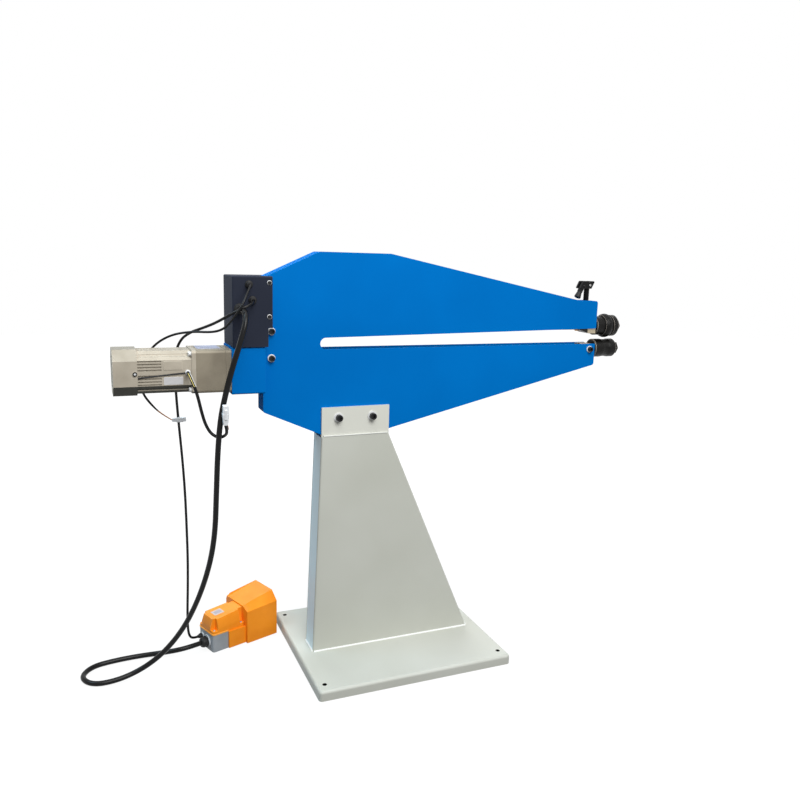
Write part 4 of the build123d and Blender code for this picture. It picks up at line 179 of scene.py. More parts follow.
def soft_lamp(name, place, aim, size, power, colour=(1, 1, 1)):
    """Square area lamp that looks from place to aim."""
    data = bpy.data.lights.new(name, "AREA")
    data.size = size
    data.energy = power
    data.color = colour
    lamp = bpy.data.objects.new(name, data)
    lamp.location = place
    lamp.rotation_mode = "QUATERNION"
    lamp.rotation_quaternion = (Vector(aim) - Vector(place)).to_track_quat("-Z", "Y")
    scene.collection.objects.link(lamp)
    return lamp


soft_lamp("front_key", (0.1, -2.6, 2.9), (0.0, 0, 0.65), 2.0, 122)
soft_lamp("overhead", (-0.5, -0.3, 3.4), (-0.1, 0, 0.6), 2.0, 36)
far_fill = soft_lamp("far_fill", (0.2, 2.8, 1.7), (-0.1, 0, 0.6), 2.0, 60)
far_fill.visible_glossy = False  # no glare on level faces seen from the near side
soft_lamp("rear_window", (-2.4, 0.4, 3.0), (-0.3, 0, 0.5), 1.4, 44, (0.52, 0.8, 1.0))

# %% [markdown]
# ## Shared surface effects
# Three effects return on many pieces, so each is a node group that is built once: soft patches with the
# orange-peel skin of sprayed paint, streaks left by grinding or drawing, and rings left by a lathe.
# Each group only puts out masks and heights. The colour and the shader stay in the material.

# %% Shared surface effects


def effect_group(name, inputs, outputs):
    """Node group with float sockets; returns it, the sockets of its input and its output node."""
    group = bpy.data.node_groups.new(name, "ShaderNodeTree")
    group.interface.new_socket("Vector", in_out="INPUT", socket_type="NodeSocketVector")
    for label, value in inputs.items():
        socket = group.interface.new_socket(label, in_out="INPUT", socket_type="NodeSocketFloat")
        socket.default_value = value
    for label in outputs:
        group.interface.new_socket(label, in_out="OUTPUT", socket_type="NodeSocketFloat")
    return group, group.nodes.new("NodeGroupInput").outputs, group.nodes.new("NodeGroupOutput")


def noise(group, vector, scale, detail, roughness=0.5):
    """Noise texture in a group, at a scale that is a number or a socket."""
    inputs = {"Vector": vector, "Scale": scale, "Detail": detail, "Roughness": roughness}
    return add_node(group, "TexNoise", inputs).outputs["Fac"]


sprayed, given, result = effect_group(
    "sprayed_skin", {"Patch Scale": 6.0, "Peel Scale": 420.0}, ["Patches", "Peel", "Specks"]
)
fill(result, {
    "Patches": noise(sprayed, given["Vector"], given["Patch Scale"], 3.0),
    "Peel": noise(sprayed, given["Vector"], given["Peel Scale"], 1.5),
    "Specks": noise(sprayed, given["Vector"], 1900.0, 0.0),
})
streaked, given, result = effect_group("drawn_streaks", {}, ["Streaks", "Stains"])
fill(result, {
    "Streaks": noise(streaked, given["Vector"], 60.0, 6.0, 0.65),
    "Stains": noise(streaked, given["Vector"], 14.0, 4.0),
})
ringed, given, result = effect_group("lathe_rings", {}, ["Rings", "Stains"])
wave = add_node(ringed, "TexWave", {
    "Vector": given["Vector"], "Scale": 700.0, "Distortion": 1.2, "Detail": 1.0,
}, bands_direction="X")
fill(result, {"Rings": wave.outputs["Fac"], "Stains": noise(ringed, given["Vector"], 45.0, 4.0)})
print("effects:", sprayed.name, streaked.name, ringed.name)

# %% [markdown]
# ## Colours and masks
# Colours are written here as they look on a screen, but a shader reckons in linear light, so they are
# turned first. A mask is a value from 0 to 1 that mixes a second colour in. It can be an attribute that
# some faces of a piece carry.

# %% Colours and masks


def srgb(code):
    """Linear colour of a hexadecimal screen colour."""
    parts = [int(code[i:i + 2], 16) / 255 for i in (0, 2, 4)]
    return tuple(p / 12.92 if p <= 0.04045 else ((p + 0.055) / 1.055) ** 2.4 for p in parts)


def mixed(tree, mask, colour_socket, colour):
    """Goes from a colour socket to a screen colour by a mask; returns the mix's output."""
    inputs = {0: mask, 6: colour_socket, 7: (*srgb(colour), 1)}
    return add_node(tree, "Mix", inputs, data_type="RGBA").outputs[2]


def marked(tree, name):
    """Value of a face attribute."""
    return add_node(tree, "Attribute", {}, attribute_name=name).outputs["Fac"]


print("middle grey in linear light:", round(srgb("808080")[0], 3))

# %% [markdown]
# ## How a finish is built
# A finish takes one effect, a dark and a light colour that the effect's mask mixes, a span of roughness
# and a small bump. Outward corners of the pieces carry an attribute named rim, and there the colour goes
# over to a third one: partly paint that is thinner on a corner and steel that handling rubs bright,
# partly a painted highlight where a corner catches the light.
# Paint, cast alloy, ground steel and plastic differ only in these values, so one helper makes them all.

# %% How a finish is built
PAINT = (sprayed, "Patches", "Peel")  # an effect, its mask and its relief
CAST = (sprayed, "Patches", "Specks")
DRAWN = (streaked, "Streaks", "Streaks")
STAINED = (streaked, "Stains", "Streaks")
LATHED = (ringed, "Stains", "Rings")
RAMP = (0.3, 0.7)
BUMP_DEPTH = 0.0004


def finish(name, kind, colours, roughness, bump, rim=None, metallic=0.0, stretch=(1, 1, 1),
           patch=None, peel=None, specular=0.5):
    """Material whose colour and roughness follow an effect's mask, with a bump from its relief."""
    effect, mask, relief = kind
    made = bpy.data.materials.new(name)
    made.use_nodes = True
    tree = made.node_tree
    place = add_node(tree, "TexCoord", {}).outputs["Object"]
    mapping = add_node(tree, "Mapping", {"Vector": place, "Scale": stretch})
    surface = add_node(tree, "Group", {"Vector": mapping.outputs["Vector"]}, node_tree=effect)
    for label, scale in (("Patch Scale", patch), ("Peel Scale", peel)):
        if scale:
            fill(surface, {label: scale})
    blend = add_node(tree, "ValToRGB", {"Fac": surface.outputs[mask]})
    for stop, position, colour in zip(blend.color_ramp.elements, RAMP, colours):
        stop.position = position
        stop.color = (*srgb(colour), 1)
    colour = blend.outputs["Color"]
    if rim:
        colour = mixed(tree, marked(tree, "rim"), colour, rim)
    gloss = add_node(tree, "MapRange", {
        "Value": surface.outputs[mask], "To Min": roughness[0], "To Max": roughness[1],
    })
    skin = add_node(tree, "Bump", {
        "Strength": bump, "Distance": BUMP_DEPTH, "Height": surface.outputs[relief],
    })
    fill(tree.nodes["Principled BSDF"], {
        "Base Color": colour, "Metallic": metallic, "Roughness": gloss.outputs["Result"],
        "Specular IOR Level": specular, "Normal": skin.outputs["Normal"],
    })
    return made


print("kinds of finish: 5, colour stops at", RAMP)

# %% [markdown]
# ## Paints
# The frame is powder coated blue, the stand is brushed over in grey-green enamel, the cover is a fine
# charcoal texture and the foot switch is orange. Paint is never one even colour, so each has two close
# shades in slow patches and a fine peel. Each also has a paler corner, partly thinner paint and partly a
# painted highlight.

# %% Paints
blue_coat = finish("blue_coat", PAINT, ("0066B4", "006FC0"), (0.58, 0.66), 0.12, rim="2F93DC",
                   patch=3.0, specular=0.015)
stand_enamel = finish("stand_enamel", PAINT, ("B9BBB1", "C7C9C1"), (0.36, 0.48), 0.16, rim="F2F4F2",
                      patch=2.5, specular=0.3)
# painted light: the rear webs' bluish white stands in for cool light falling on them from behind
web_enamel_painted_skylight = finish("web_enamel_painted_skylight", PAINT, ("DAF2FC", "E2FAFF"), (0.36, 0.48), 0.16, rim="F2F4F2",
                    patch=2.5, specular=0.3)
cover_coat = finish("cover_coat", PAINT, ("252934", "2C303D"), (0.55, 0.65), 0.3, rim="6A6E76",
                    peel=900.0, specular=0.04)
orange_enamel = finish("orange_enamel", PAINT, ("F08B14", "FB9822"), (0.36, 0.46), 0.2, rim="FFB04C",
                       patch=18.0, specular=0.25)
switch_grey = finish("switch_grey", PAINT, ("90959A", "A0A5AA"), (0.4, 0.52), 0.3, rim="B4B9BD",
                     patch=25.0, specular=0.3)
crank_black = finish("crank_black", PAINT, ("0C0C0D", "151516"), (0.32, 0.45), 0.2, rim="2C2C2E",
                     specular=0.16)
print("materials so far:", len(bpy.data.materials))

# %% [markdown]
# ## Metals
# The motor is die-cast alloy with a warm grey skin. Bolts are black oxide, washers and shafts bright
# steel, the dies blackened tool steel with the rings of the lathe, rubbed a little on their corners,
# where the paler colour is also a painted highlight.
# Streaks run along the bar on ground steel, so its pattern is stretched along X.

# %% Metals
motor_alloy = finish("motor_alloy", CAST, ("A39B8C", "B3AB9C"), (0.36, 0.48), 0.25, rim="D0CABC",
                     metallic=0.12, patch=20.0, specular=0.12)
gearbox_alloy = finish("gearbox_alloy", CAST, ("837B6C", "928A7A"), (0.36, 0.48), 0.25, rim="BDB6A7",
                       metallic=0.12, patch=20.0, specular=0.12)
black_oxide = finish("black_oxide", STAINED, ("0D0D0E", "1A1A1B"), (0.32, 0.46), 0.1, rim="3C3C3E",
                     metallic=0.3, specular=0.3)
ground_steel = finish("ground_steel", DRAWN, ("9A9A98", "B8B8B4"), (0.22, 0.38), 0.1, metallic=1.0,
                      stretch=(1, 14, 14))
block_steel = finish("block_steel", DRAWN, ("A3977F", "BDB199"), (0.34, 0.48), 0.15, rim="D8CFBC",
                     metallic=0.6, stretch=(1, 8, 8))
plain_steel = finish("plain_steel", STAINED, ("AEAEAC", "CBCBC8"), (0.25, 0.4), 0.1, rim="E0E0DE",
                     metallic=0.9)
bronze = finish("bronze", LATHED, ("8E6A35", "A98247"), (0.3, 0.42), 0.1, metallic=1.0)
die_black = finish("die_black", LATHED, ("090908", "141312"), (0.22, 0.34), 0.22, rim="8A847C",
                   metallic=0.1, specular=0.16)
satin_zinc = finish("satin_zinc", STAINED, ("C9CACA", "DCDDDD"), (0.36, 0.5), 0.08, rim="F0F0F0",
                    metallic=0.1, specular=0.12)
zinc_sheet = finish("zinc_sheet", STAINED, ("A9ABAD", "C3C5C6"), (0.3, 0.45), 0.08, metallic=1.0)
plate_silver = finish("plate_silver", DRAWN, ("B2B1B2", "C6C5C6"), (0.3, 0.42), 0.06, rim="ECECEC",
                      metallic=0.35, stretch=(1, 20, 20))
plate_cool = finish("plate_cool", DRAWN, ("8C93AA", "9AA1B8"), (0.34, 0.45), 0.06, rim="D5D9E6",
                    metallic=0.1, stretch=(1, 20, 20), specular=0.08)
print("materials so far:", len(bpy.data.materials))

# %% [markdown]
# ## Plastics
# Grip, glands and cable jackets are black plastic that is dull rather than shiny, so their specular
# level is low and their roughness high. The plugs are off-white nylon.

# %% Plastics
grip_plastic = finish("grip_plastic", PAINT, ("0B0B0C", "141415"), (0.45, 0.6), 0.3, rim="2A2A2C",
                      peel=1500.0, specular=0.25)
moulded_black = finish("moulded_black", PAINT, ("0C0C0D", "161617"), (0.45, 0.6), 0.25, rim="2C2C2E",
                       peel=1400.0, specular=0.25)
cable_jacket = finish("cable_jacket", PAINT, ("060607", "0D0D0E"), (0.24, 0.32), 0.05, patch=30.0,
                      peel=900.0, specular=0.18)
white_nylon = finish("white_nylon", PAINT, ("D6D9DC", "E6E9EC"), (0.4, 0.5), 0.1, rim="F0F2F5",
                     patch=60.0, specular=0.4)
collar_grey = finish("collar_grey", PAINT, ("B4B7BA", "C4C7CA"), (0.4, 0.5), 0.1, rim="DADDE0",
                     patch=60.0, specular=0.3)

FINISHES = {
    "stand_paint": stand_enamel, "frame_paint": blue_coat, "cover_paint": cover_coat,
    "black_bolt": black_oxide, "bright_steel": ground_steel, "block_steel": block_steel,
    "plain_steel": plain_steel, "bronze": bronze, "die_steel": die_black, "crank_black": crank_black,
    "grip_black": grip_plastic, "motor_alloy": motor_alloy, "zinc_sheet": zinc_sheet,
    "control_plastic": moulded_black, "gland_plastic": moulded_black, "cable_jacket": cable_jacket,
    "plug_plastic": white_nylon, "pedal_casting": switch_grey, "pedal_cover": orange_enamel,
    "treadle_black": crank_black,
}
SLOT_OF = {part["node"]: part["material_slot"] for part in frame["record"]["subparts"]}
for node, slot in SLOT_OF.items():
    nodes[node].data.materials.clear()
    nodes[node].data.materials.append(FINISHES[slot])
nodes["stand_webs"].data.materials[0] = web_enamel_painted_skylight  # closing plates, tinted cool as painted light from behind
print("finishes:", len(FINISHES))

# %% [markdown]
# ## Masks by place
# Some pieces change colour along their length, so the place on the piece decides the colour. Vector
# Math nodes measure Object coordinates, a comparison turns the measure into a mask, and a second
# colour is laid over the finish that is there.

# %% Masks by place


def lay_over(material, mask, colour):
    """Puts a colour over a material's own where a mask is 1."""
    tree = material.node_tree
    base = tree.nodes["Principled BSDF"].inputs["Base Color"]
    tree.links.new(mixed(tree, mask, base.links[0].from_socket, colour), base)


def measure(tree, operation, first, second=None, output="Vector"):
    """Vector Math on a socket and an optional constant vector; returns one of its outputs."""
    inputs = {0: first, 1: second} if second else {0: first}
    return add_node(tree, "VectorMath", inputs, operation=operation).outputs[output]


def along(tree, place, axis):
    """Distance of a place along an axis."""
    return measure(tree, "DOT_PRODUCT", place, axis, "Value")


def below(tree, value, limit):
    """Mask that is 1 where a value is under a limit."""
    return add_node(tree, "Math", {0: value, 1: limit}, operation="LESS_THAN").outputs[0]


def second_coat(material, name):
    """Copy of a finish; returns it, its node tree and the socket with its Object coordinates."""
    made = material.copy()
    made.name = name
    tree = made.node_tree
    return made, tree, add_node(tree, "TexCoord", {}).outputs["Object"]


print("materials so far:", len(bpy.data.materials))

# %% [markdown]
# ## Two-tone finishes and painted light
# The anchor holes in the base are dark inside. The stand's sides are painted lighter from the tabs up,
# as painted light where more light falls, and their corners paler still as a painted highlight. The head
# block is dark behind and bare steel in front. The motor's facets that look down, and a few that look
# up, carry painted shade, which an attribute of its faces tells.

# %% Two-tone finishes and painted light
ANCHOR_PLACE = (0.2615, 0.211, 0)
ANCHOR_RADIUS = 0.0063
base_enamel, tree, place = second_coat(stand_enamel, "base_enamel")
from_hole = measure(tree, "SUBTRACT", measure(tree, "ABSOLUTE", place), ANCHOR_PLACE)
flat = measure(tree, "MULTIPLY", from_hole, (1, 1, 0))
reach = measure(tree, "LENGTH", flat, output="Value")
lay_over(base_enamel, below(tree, reach, ANCHOR_RADIUS), "0B0A09")

TAB_FROM_Z = 0.6575
side_enamel, tree, place = second_coat(stand_enamel, "side_enamel")
# painted light: lighter from the tabs' foot up, where more light falls
lay_over(side_enamel, below(tree, along(tree, place, (0, 0, -1)), -TAB_FROM_Z), "D0D1C8")
# painted highlight: the corners of the stand's sides go paler still
lay_over(side_enamel, marked(tree, "rim"), "F6F7F5")

GROUND_FROM_X = 0.634
head_block, tree, place = second_coat(block_steel, "head_block")
lay_over(head_block, below(tree, along(tree, place, (1, 0, 0)), GROUND_FROM_X), "1C1916")

# painted shade: faces marked by the attribute go dark grey
lay_over(motor_alloy, marked(motor_alloy.node_tree, "painted_shade"), "46463F")
print("two-tone:", base_enamel.name, side_enamel.name, head_block.name, motor_alloy.name)

# %% [markdown]
# ## From bmesh to piece
# New forms are drawn in a bmesh, a mesh that operators change step by step. One helper makes an object
# of it, hangs it on the empty of the body it rides on, and hides the CAD nodes it stands for. Weighted
# normals keep large faces flat beside their bevels.

# %% From bmesh to piece
SMOOTH = radians(50)


def add_piece(name, shape, body, slot, material=None, replaced=()):
    """Makes an object of a bmesh, with its finish, its body and the CAD nodes that it stands for."""
    mesh = bpy.data.meshes.new(name)
    shape.to_mesh(mesh)
    shape.free()
    if "custom_normal" in mesh.attributes:
        mesh.attributes.remove(mesh.attributes["custom_normal"])
    mesh.shade_smooth()
    mesh.set_sharp_from_angle(angle=SMOOTH)
    mesh.materials.clear()
    mesh.materials.append(material or FINISHES[slot])
    made = bpy.data.objects.new(name, mesh)
    scene.collection.objects.link(made)
    flat_faces = made.modifiers.new("flat_faces", "WEIGHTED_NORMAL")
    flat_faces.keep_sharp = True
    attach(made, body)
    if replaced:
        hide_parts(*replaced)
    print(name, "faces", len(mesh.polygons))
    return made


BODY_OF = {node: body for body, held in frame["record"]["behaviour"]["bodies"].items() for node in held}
print("bodies:", len(set(BODY_OF.values())))

# %% [markdown]
# ## Rounded corners
# No edge of the real machine is knife sharp: plate is deburred, castings leave their mould with a
# radius, and paint draws back at a corner. A bevel on each outward corner catches the light as the
# real one does. A CAD mesh is loose triangles, so a copy is merged, its flat faces are joined, and only
# then are its corners bevelled. The new faces are marked as rim for the finishes.

# %% Rounded corners
FLAT = radians(0.5)
CORNER = radians(40)


def bevelled(shape, geom, offset, segments, affect="EDGES"):
    """Bevels edges or corners of a bmesh; returns the new faces."""
    return bmesh.ops.bevel(shape, geom=geom, offset=offset, offset_type="OFFSET", segments=segments,
                           profile=0.5, affect=affect, clamp_overlap=True, material=-1)["faces"]


def rounded(shape, width, test=None):
    """Bevels the outward corners of a bmesh, where a test of their middle allows it, and marks them."""
    rim = shape.faces.layers.float.get("rim") or shape.faces.layers.float.new("rim")
    corners = [
        edge for edge in shape.edges
        if edge.is_manifold and edge.is_convex and edge.calc_face_angle() > CORNER
        and (test is None or test((edge.verts[0].co + edge.verts[1].co) / 2))
    ]
    for face in bevelled(shape, corners, width, 2):
        face[rim] = 1.0


def merged_copy(node):
    """Copy of a CAD node's mesh, with its triangles merged and its flat faces joined."""
    shape = bmesh.new()
    shape.from_mesh(nodes[node].data)
    bmesh.ops.remove_doubles(shape, verts=shape.verts, dist=1e-6)
    bmesh.ops.dissolve_limit(shape, angle_limit=FLAT, verts=shape.verts, edges=shape.edges)
    return shape


def soften(node, width, test=None, material=None):
    """Stands a merged copy with rounded corners in for a CAD node; width in millimetres."""
    shape = merged_copy(node)
    rounded(shape, width / 1000, test)
    return add_piece(node + "_soft", shape, BODY_OF[node], SLOT_OF[node], material, (node,))


print("rounded: corners that turn by more than", round(CORNER, 2), "radians")

# %% [markdown]
# ## Which pieces are rounded
# The width of a bevel follows how a piece was made: half a millimetre on small turned pieces, and up to
# one and a half on folded sheet and castings. The plates of frame and stand are rounded on their outer
# faces alone, because strips and webs close them on the inside.

# %% Which pieces are rounded
SOFT = {
    "motor_mount_box": 1.0, "cover_screws": 0.5, "control_cover": 0.5, "crank_arm": 0.6,
    "crank_grip": 0.5, "lower_front_bearing": 0.8, "upper_roller": 0.8, "lower_roller": 0.8,
    "upper_die_nut": 0.7, "lower_die_nut": 0.7, "stand_bolts": 0.7, "bearing_bolts": 0.6,
    "pivot_bolts": 0.6, "pedal_base": 1.0, "pedal_lid": 1.6, "treadle": 1.0, "speed_knob": 0.5,
    "direction_selector": 0.5,
}
for node, width in SOFT.items():
    soften(node, width)
soften("base_plate", 1.5, material=base_enamel)
soften("upper_front_bearing", 0.8, material=head_block)
soften("gearbox", 0.8, material=gearbox_alloy)
soften("motor_screws", 0.5, material=satin_zinc)

FRAME_OUTSIDE = 0.0295  # distance from the middle plane, beyond which corners are rounded
STAND_OUTSIDE = 0.0345
for node in ("frame_near_plate", "frame_far_plate"):
    soften(node, 0.9, lambda middle: abs(middle.y) > FRAME_OUTSIDE)
for node in ("stand_near_side", "stand_far_side"):
    soften(node, 1.4, lambda middle: abs(middle.y) > STAND_OUTSIDE, side_enamel)

# %% [markdown]
# ## Fan grille
# Air enters the fan through arc slots in the rear wall of its cover. The CAD solid keeps that wall
# closed, so a rounded copy loses the wall and gets a slotted one: the wall's outline and the slots are
# closed loops of edges, a fill finds the sheet between them, and short walls join its two sides.

# %% Fan grille
MOTOR_Z = 847
SLOT_RINGS = ((17, 0), (27, 30), (37, 0))  # radius in millimetres, first angle in degrees
SLOT_SPAN = 41
SLOT_HALF = 2
SLOTS_ROUND = 6
ARC_STEPS = 8
END_STEPS = 6
REAR_WALL_BEFORE_X = -0.7455


def arc_slot(radius, first):
    """Outline of one arc slot round the motor's axis, as (y, z) points in millimetres."""
    sweep = [radians(first + SLOT_SPAN * step / ARC_STEPS) for step in range(ARC_STEPS + 1)]
    line = []
    for edge, angles in ((SLOT_HALF, sweep), (-SLOT_HALF, sweep[::-1])):
        line += [((radius + edge) * cos(a), (radius + edge) * sin(a)) for a in angles]
        end = angles[-1]
        for step in range(1, END_STEPS):
            bend = pi * step / END_STEPS
            out, lead = radius + edge * cos(bend), edge * sin(bend)
            line.append((out * cos(end) - lead * sin(end), out * sin(end) + lead * cos(end)))
    return line


cover = merged_copy("fan_cover")
rounded(cover, 0.0007)
walls = [
    face for face in cover.faces
    if abs(face.normal.x) > 0.99 and face.calc_center_median().x < REAR_WALL_BEFORE_X
]
wall_x = sorted(face.calc_center_median().x for face in walls)
bmesh.ops.delete(cover, geom=walls, context="FACES_ONLY")
outlines = [
    arc_slot(radius, first + 360 / SLOTS_ROUND * arc)
    for radius, first in SLOT_RINGS for arc in range(SLOTS_ROUND)
]
sides = []
for x, facing in zip(wall_x, (-1, 1)):
    loops = [
        [cover.verts.new((x, y / 1000, (z + MOTOR_Z) / 1000)) for y, z in line] for line in outlines
    ]
    rims = [cover.edges.new((loop[i - 1], loop[i])) for loop in loops for i in range(len(loop))]
    rims += [e for e in cover.edges if e.is_boundary and all(abs(v.co.x - x) < 1e-5 for v in e.verts)]
    bmesh.ops.triangle_fill(cover, edges=rims, use_beauty=True, normal=(facing, 0, 0))
    sides.append(loops)
for rear, front in zip(*sides):
    for i in range(len(rear)):
        cover.faces.new((rear[i - 1], rear[i], front[i], front[i - 1]))
bmesh.ops.recalc_face_normals(cover, faces=cover.faces)
print("slots:", len(outlines), "open edges:", sum(not edge.is_manifold for edge in cover.edges))
soft_cover = add_piece("fan_cover_soft", cover, "root", "motor_alloy", replaced=("fan_cover",))

# %% [markdown]
# ## Painted shade on the motor
# Facets of motor and fan cover that look down are painted dark, as painted shade, and facets that look
# up a little dark, as a painted dark reflection. How much is written on each face, as the attribute that
# the alloy's finish reads.

# %% Painted shade on the motor
DOWN, SLOPING, LEVEL = -0.4, 0.4, 0.9  # rise of a face's normal


def paint_shade_by_facing(made, level, slope):
    """Marks painted shade on the faces of a piece that look down, and by a share on those that are level
    or slope up.
    """
    painted_shade = made.data.attributes.new("painted_shade", "FLOAT", "FACE")
    for face in made.data.polygons:
        rise = face.normal.z
        upward = level if rise > LEVEL else slope if rise > SLOPING else 0
        painted_shade.data[face.index].value = 1 if rise < DOWN else upward


paint_shade_by_facing(soft_cover, level=0.5, slope=0.16)
paint_shade_by_facing(soften("motor_body", 0.6), level=0.15, slope=0)

# %% [markdown]
# ## Washers
# Bright washers lie under the black bolt heads, and from a distance they are what shows that the head
# is a bolt. The small ones on the cover are dished, so that only their upper half catches the light.
# A washer is turned on a lathe, so here too a small profile is spun once round its axis.

# %% Washers


def mm(x, y, z):
    """Point or vector given in millimetres."""
    return Vector((x, y, z)) / 1000


def turned(shape, foot, axis, profile, segments=36):
    """Adds a profile of (radius, height) in millimetres, spun once round an axis, to a bmesh."""
    axis = axis.normalized()
    out = axis.orthogonal().normalized()
    line = [shape.verts.new(foot + (out * radius + axis * height) / 1000) for radius, height in profile]
    sides = [
        shape.edges.new((line[i - 1], line[i]))
        for i in range(len(line)) if profile[i - 1][0] + profile[i][0] > 0
    ]
    bmesh.ops.spin(shape, geom=line + sides, cent=foot, axis=axis, angle=2 * pi, steps=segments,
                   use_merge=True)
    bmesh.ops.remove_doubles(shape, verts=shape.verts, dist=1e-6)
    bmesh.ops.recalc_face_normals(shape, faces=shape.faces)


NEAR, FAR = -1, 1
X, Y, Z = Vector((1, 0, 0)), Vector((0, 1, 0)), Vector((0, 0, 1))
washers = bmesh.new()
for side in (NEAR, FAR):
    for x in (-175.5, -77.5):
        turned(washers, mm(x, side * 36, 707.5), Y * side,
               [(8.5, 0), (13.2, 0), (13.2, 2.6), (12.7, 2.9), (8.5, 3.1)])
    for x, z in ((640, 878), (-359, 874), (-359, 944)):
        turned(washers, mm(x, side * 30, z), Y * side,
               [(7, 0), (10.2, 0), (10.2, 2.1), (9.8, 2.4), (7, 2.6)])
    for z in (1069, 984):
        turned(washers, mm(-371, side * 62.5, z), Y * side,
               [(4.5, 0), (6.2, 0), (6.2, 0.2), (5.2, 1.3), (4.5, 1.3)])
add_piece("bolt_washers", washers, "root", "plain_steel", satin_zinc)

# %% [markdown]
# ## Weld beads
# The stand is welded to its base plate and painted over, so a rippled bead runs along every foot, and
# another under each tab. A ring is extruded step by step along the seam, and every second ring is drawn
# in a little, which leaves the ripples of the weld.

# %% Weld beads
WELD_STEP = 0.0045
WELD_DRAW = 0.82


def only(kind, geom):
    """Vertices or edges alone among the parts that an operator returns."""
    return [part for part in geom if isinstance(part, kind)]


def weld_bead(shape, start, end, radius):
    """Adds a rippled round bead from start to end to a bmesh."""
    run = end - start
    steps = 2 * round(run.length / WELD_STEP / 2)
    turn = Matrix.Translation(start) @ run.to_track_quat("Z", "X").to_matrix().to_4x4()
    ring = bmesh.ops.create_circle(shape, cap_ends=True, segments=8, radius=radius, matrix=turn)["verts"]
    edges = list(dict.fromkeys(edge for vert in ring for edge in vert.link_edges))
    for step in range(1, steps + 1):
        grown = bmesh.ops.extrude_edge_only(shape, edges=edges)["geom"]
        ring = only(BMVert, grown)
        edges = [edge for edge in only(BMEdge, grown) if all(vert in ring for vert in edge.verts)]
        bmesh.ops.translate(shape, vec=run / steps, verts=ring)
        draw = WELD_DRAW if step % 2 else 1 / WELD_DRAW
        middle = Matrix.Translation(-start - run * step / steps)
        bmesh.ops.scale(shape, vec=(draw, draw, draw), space=middle, verts=ring)
    bmesh.ops.contextual_create(shape, geom=edges)


FOOT_Z, FOOT_BEAD = 28.4, 0.0034
TAB_Z, TAB_BEAD = 657.5, 0.0022
FOOT_RIM, TAB_RIM = 0.9, 0.35  # how far a bead takes the corners' paler colour, as a painted highlight
HALF_WAY_UP = 0.5
welds = bmesh.new()
for side in (NEAR, FAR):
    weld_bead(welds, mm(-240, side * 39.2, FOOT_Z), mm(244, side * 39.2, FOOT_Z), FOOT_BEAD)
    weld_bead(welds, mm(-218, side * 38.2, TAB_Z), mm(-32, side * 38.2, TAB_Z), TAB_BEAD)
for x in (-243, 247):
    weld_bead(welds, mm(x, -36, FOOT_Z), mm(x, 36, FOOT_Z), FOOT_BEAD)
# painted highlight: a bright line along each bead, strong at the foot, faint under the tabs
weld_highlight = welds.faces.layers.float.new("rim")
for face in welds.faces:
    face[weld_highlight] = FOOT_RIM if face.calc_center_median().z < HALF_WAY_UP else TAB_RIM
bmesh.ops.recalc_face_normals(welds, faces=welds.faces)
add_piece("stand_welds", welds, "root", "stand_paint")

# %% [markdown]
# ## Pressure screw
# The screw has a 2.5 mm thread. A smooth shank would look like a pin, so the core is spun and the
# thread is a small closed ridge that climbs by one pitch in each turn, which spin does with a step
# along the axis. The foot of the ridge lies inside the core, so only its crest shows.

# %% Pressure screw
SCREW_AXIS = mm(636, 0, 0)
THREAD_FROM_Z = 985
PITCH = 2.5
TURN_STEPS = 24
TURNS = 30

screw = bmesh.new()
turned(screw, SCREW_AXIS, Z, [
    (0, 970), (6, 970), (6.5, 970.5), (6.5, 984), (8, 984), (8, 1062.5), (6.5, 1062.5), (6.5, 1079.5),
    (0, 1079.5),
])
ridge = [
    screw.verts.new(SCREW_AXIS + mm(radius, 0, THREAD_FROM_Z + height * PITCH))
    for radius, height in ((7.6, 0), (9, 0.44), (9, 0.56), (7.6, 1))
]
flanks = [screw.edges.new((ridge[i - 1], ridge[i])) for i in range(4)]
climbed = bmesh.ops.spin(screw, geom=ridge + flanks, cent=SCREW_AXIS, axis=Z, angle=2 * pi * TURNS,
                         steps=TURN_STEPS * TURNS, dvec=mm(0, 0, PITCH / TURN_STEPS))
bmesh.ops.contextual_create(screw, geom=flanks)
bmesh.ops.contextual_create(screw, geom=only(BMEdge, climbed["geom_last"]))
bmesh.ops.recalc_face_normals(screw, faces=screw.faces)
add_piece("threaded_screw", screw, "screw", "crank_black", replaced=("pressure_screw",))

# %% [markdown]
# ## Crank fittings
# A bright set screw in the block's near face locks it on the pressure screw, and the grip's hinge pin
# shows a domed head on each side. Both are small turned forms; the set screw's profile dips in the
# middle for its socket.

# %% Crank fittings
set_screw = bmesh.new()
turned(set_screw, mm(640, -12, 1073), -Y,
       [(0, -0.5), (3.3, -0.5), (3.3, 0.6), (2.9, 1), (1.7, 1), (1.5, 0.1), (0, 0.1)])
add_piece("crank_set_screw", set_screw, "screw", "plain_steel")
pin_heads = bmesh.new()
for side in (NEAR, FAR):
    turned(pin_heads, mm(619, side * 12, 1070), Y * side,
           [(0, -0.5), (4.6, -0.5), (4.6, 0.6), (3.4, 1.6), (0, 2)])
add_piece("crank_pin_heads", pin_heads, "screw", "crank_black")

# %% [markdown]
# ## Bare plates
# Motor, gearbox and foot switch each carry a small plate, left blank here. A plate is a flat square
# drawn to size, with its corners bevelled as seen from above and then given a thickness.

# %% Bare plates


def thicken(shape, height):
    """Extrudes a flat bmesh upwards; height in millimetres."""
    raised = bmesh.ops.extrude_face_region(shape, geom=shape.faces[:])["geom"]
    bmesh.ops.translate(shape, vec=mm(0, 0, height), verts=only(BMVert, raised))
    bmesh.ops.recalc_face_normals(shape, faces=shape.faces)


